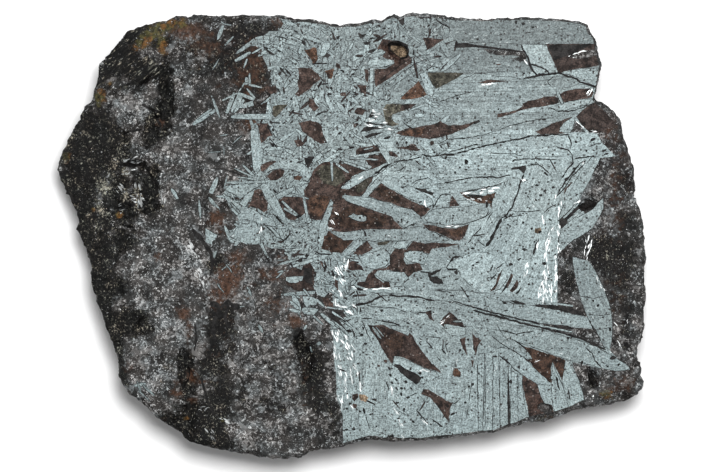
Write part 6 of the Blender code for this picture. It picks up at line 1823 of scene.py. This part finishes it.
def stained(r, parts, colour):
    """Rust and ochre stains with ragged edges."""
    rusty = r.mix(r.fade(r.noise(0.8, 4.0, 0.7), 0.25, 0.80), *RUST_STAIN)
    ragged_rust = r.fade(r.math("ADD", parts.rust, r.product(parts.waver, 2.2)), 0.30, 1.1, 0.0, 0.92)
    colour = r.mix(ragged_rust, colour, rusty)
    ochre = r.mix(r.fade(r.noise(3.0, 3.0), 0.42, 0.58), *OCHRE)
    golden = r.mix(r.fade(r.noise(0.9, 4.0, 0.7), 0.30, 0.75), OCHRE_DARK, ochre)
    ragged_gold = r.fade(r.math("ADD", parts.gold, r.product(parts.waver, 2.2)), 0.35, 1.2, 0.0, 0.9)
    return r.mix(ragged_gold, colour, golden)


def stone_material(name, brightness, shine, rough, depth):
    """Granular rock: a dark ground full of small grey crystals, some bright, stained in zones."""
    r = Recipe(name)
    parts = rock_parts(r)
    colour = grained(r, parts)
    colour = r.mix(r.product(parts.smooth, 0.85), colour, broken_surface(r, parts))
    colour = stained(r, parts, veined(r, colour))
    lit = r.total((r.noise(0.42, 3.0, 0.7), 1.0), (r.centred(parts.chosen), 0.12),
                  (r.centred(parts.cloud), 0.22), (parts.bright, 0.04), (parts.smooth, -0.05),
                  (parts.rust, -0.04))
    colour = r.mix(r.fade(lit, 0.655, 0.685), colour, r.ramp(parts.shade, *LIT_GRAINS))
    r.bump(r.total((parts.fine, 0.6), (parts.shade, 0.2), (r.noise(0.9, 5.0, 0.75), 1.5)), depth)
    roughness = r.fade(parts.shade, 0.2, 0.8, rough, rough - SMOOTHER)
    return r.finish(r.scaled(colour, brightness), roughness, 0.0, shine)


def rock_material():
    """The granular rock where it is polished."""
    return stone_material("granular_rock", *ROCK_LOOK)


def rind_material():
    """The same rock broken, on the rind and the sides, where small facets shine, with painted glints as well.
    """
    return stone_material("broken_rind", *RIND_LOOK)


STEEL = ((0.222, 0.286, 0.298), (0.248, 0.300, 0.299))
STEEL_FLECK = (0.52, 0.575, 0.575)
STEEL_SPECK = (0.016, 0.013, 0.012)
SPECK_SIZE = 0.8
SPECK_SHARE, FELT_SPECKS = 0.85, 0.17  # a speck's number is above the first, less the second in felt


def blade_material():
    """Steel-blue crystal, streaked along its length and pitted with small black specks."""
    r = Recipe("crystal_blade")
    grain = r.attribute("grain", "Vector")
    felted = r.attribute("tint")
    streak = r.noise(1.0, 3.0, 0.6, grain, (0.22, 2.2, 1.0))
    mottle = r.noise(1.3, 5.0, 0.7)
    pepper = r.noise(0.42, 4.0, 0.75)
    fleck = r.noise(0.55, 3.0, 0.6, grain, (0.5, 1.3, 1.0))
    shade = r.product(r.attribute("tone"), r.fade(streak, 0.30, 0.70, 0.80, 1.16),
                      r.fade(mottle, 0.34, 0.66, 0.74, 1.18), r.fade(pepper, 0.38, 0.60, 0.38, 1.20))
    cool = r.scaled(r.mix(r.noise(14.0, 3.0), *STEEL), shade)
    chosen, _, distance = r.grains(SPECK_SIZE, True)
    few = r.math("SUBTRACT", SPECK_SHARE, r.product(felted, FELT_SPECKS))
    dark = r.product(r.fade(r.math("SUBTRACT", chosen, few), 0.0, 0.05), r.fade(distance, 0.40, 0.16))
    colour = r.mix(dark, r.mix(r.fade(fleck, 0.62, 0.74), cool, STEEL_FLECK), STEEL_SPECK)
    r.bump(r.math("SUBTRACT", r.math("ADD", r.product(pepper, 0.5), r.product(streak, 0.4)), dark), 0.03)
    return r.finish(colour, r.fade(mottle, 0.3, 0.7, 0.42, 0.32), 0.0, 0.12)


# Darkest and lightest colour of each tint of the matrix between the blades
MATRIX = {
    "dark": ((0.005, 0.005, 0.005), (0.016, 0.014, 0.013)),
    "brown": ((0.010, 0.007, 0.006), (0.068, 0.041, 0.032)),
    "rust": ((0.012, 0.008, 0.006), (0.110, 0.054, 0.030)),
    "olive": ((0.020, 0.019, 0.014), (0.110, 0.104, 0.075)),
    "tan": ((0.045, 0.032, 0.020), (0.34, 0.25, 0.165)),
}
MATRIX_GRAIN = ((0.06, 0.045, 0.04), (0.34, 0.32, 0.30))


def window_material():
    """Brown matrix between the blades, from near black to rust, olive and tan."""
    r = Recipe("brown_matrix")
    tint = r.attribute("tint")
    blotch = r.fade(r.noise(1.8, 5.0, 0.7), 0.34, 0.66)
    crumbs = r.noise(0.42, 4.0, 0.75)
    colour = r.mix(blotch, *MATRIX["dark"])
    for name in ("brown", "rust", "olive", "tan"):
        step = r.fade(tint, TINTS[name] - 1, TINTS[name])
        colour = r.mix(step, colour, r.mix(blotch, *MATRIX[name]))
    colour = r.scaled(colour, r.product(r.attribute("tone"), r.fade(crumbs, 0.36, 0.64, 0.25, 1.5)))
    chosen, bright, distance = r.grains(0.6, True)
    lit = r.product(r.fade(chosen, 0.88, 0.92), r.fade(distance, 0.36, 0.14),
                    r.fade(tint, -0.6, 0.0, 0.0, 0.6))
    colour = r.mix(lit, colour, r.mix(bright, *MATRIX_GRAIN))
    r.bump(crumbs, 0.05)
    return r.finish(colour, r.fade(blotch, 0.3, 0.7, 0.60, 0.45), 0.0, 0.10)


# Colours of the painted glints, from grey to the white of a painted highlight
PAINTED_GLINT_RAMP = ((0.34, (0.22, 0.25, 0.25)), (0.48, (0.62, 0.66, 0.66)), (0.66, (0.90, 0.92, 0.91)))


def painted_glint_material():
    """Painted highlight: cleavage that catches the light, painted white in its colour."""
    r = Recipe("painted_glint_cleavage")
    streak = r.noise(0.8, 3.0, 0.6, r.attribute("grain", "Vector"), (0.3, 3.0, 1.0))
    colour = r.scaled(r.ramp(streak, *PAINTED_GLINT_RAMP), r.attribute("tone"))
    r.bump(streak, 0.02)
    return r.finish(colour, r.fade(streak, 0.3, 0.7, 0.42, 0.25), 0.15)


SAWN = ((0.035, 0.031, 0.029), (0.19, 0.215, 0.22))


def back_material():
    """The sawn back: the same rock, dull and grey, with faint saw marks."""
    r = Recipe("sawn_back")
    blades = r.cells(6.0, r.stretched(r.place, (0.45, 1.3, 1.0)))
    mottle = r.noise(1.2, 5.0, 0.7)
    share = r.fade(r.math("ADD", r.product(blades.outputs["Color"], 0.6), mottle), 0.62, 0.95)
    marks = r.noise(0.9, 2.0, 0.5, None, (0.02, 1.0, 1.0))
    colour = r.scaled(r.mix(share, *SAWN), r.fade(marks, 0.3, 0.7, 0.88, 1.1))
    r.bump(r.math("ADD", marks, r.product(mottle, 0.4)), 0.04)
    return r.finish(colour, r.fade(mottle, 0.3, 0.7, 0.75, 0.58), 0.1)


# The camera looks straight down, as in the photo
VIEW_WIDTH = 177 * MM  # width of the slab's top plane that the picture takes in
LENS = 400.0  # long, so that the slab's far edge shows as in the photo
SENSOR = 36.0
VIEW_MIDDLE = (0.5 * MM, 0.1 * MM)  # the picture's middle beside the slab's
CLIP_START = 0.01

# Studio light: each softbox's name, place, size and watts
WORLD_STRENGTH = 0.24
SOFTBOXES = (
    ("key_light", (0.09, 0.24, 1.05), (0.38, 0.38), 14.1),
    ("left_light", (-0.75, 0.1, 0.5), (0.4, 0.8), 0.9),
    ("right_light", (0.75, 0.1, 0.5), (0.4, 0.8), 0.9),
)

FLOOR_REACH = 2.0  # from the middle to an edge
PAPER = ((0.90, 0.90, 0.90), (0.92, 0.92, 0.92))


def add_camera():
    camera = bpy.data.cameras.new("camera")
    camera.lens = LENS
    camera.sensor_width = SENSOR
    camera.clip_start = CLIP_START
    holder = bpy.data.objects.new("camera", camera)
    holder.location = (*VIEW_MIDDLE, FACE_TOP + VIEW_WIDTH * LENS / SENSOR)
    bpy.context.scene.collection.objects.link(holder)
    bpy.context.scene.camera = holder


def add_softbox(name, place, size, power):
    light = bpy.data.lights.new(name, "AREA")
    light.shape = "RECTANGLE"
    light.size, light.size_y = size
    light.energy = power
    holder = bpy.data.objects.new(name, light)
    holder.location = place
    holder.rotation_euler = (-Vector(place)).to_track_quat("-Z", "Y").to_euler()
    bpy.context.scene.collection.objects.link(holder)


def add_light():
    world = bpy.data.worlds.new("studio")
    world.use_nodes = True
    background = world.node_tree.nodes["Background"]
    background.inputs["Color"].default_value = (1.0, 1.0, 1.0, 1.0)
    background.inputs["Strength"].default_value = WORLD_STRENGTH
    bpy.context.scene.world = world
    for row in SOFTBOXES:
        add_softbox(*row)
    bpy.context.scene.view_settings.view_transform = "Standard"


def add_floor():
    mesh = bpy.data.meshes.new("floor")
    bm = bmesh.new()
    bmesh.ops.create_grid(bm, x_segments=2, y_segments=2, size=FLOOR_REACH)
    bm.to_mesh(mesh)
    bm.free()
    r = Recipe("floor_paper")
    mesh.materials.append(r.finish(r.mix(r.noise(30.0, 2.0), *PAPER), 0.9, 0.0, 0.1))
    floor = bpy.data.objects.new("floor", mesh)
    bpy.context.scene.collection.objects.link(floor)


add_camera()
add_light()
add_floor()
stone = build_slab()
for make in (rock_material, blade_material, window_material, painted_glint_material, rind_material, back_material):
    stone.data.materials.append(make())
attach(stone, "root")
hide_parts("slab")
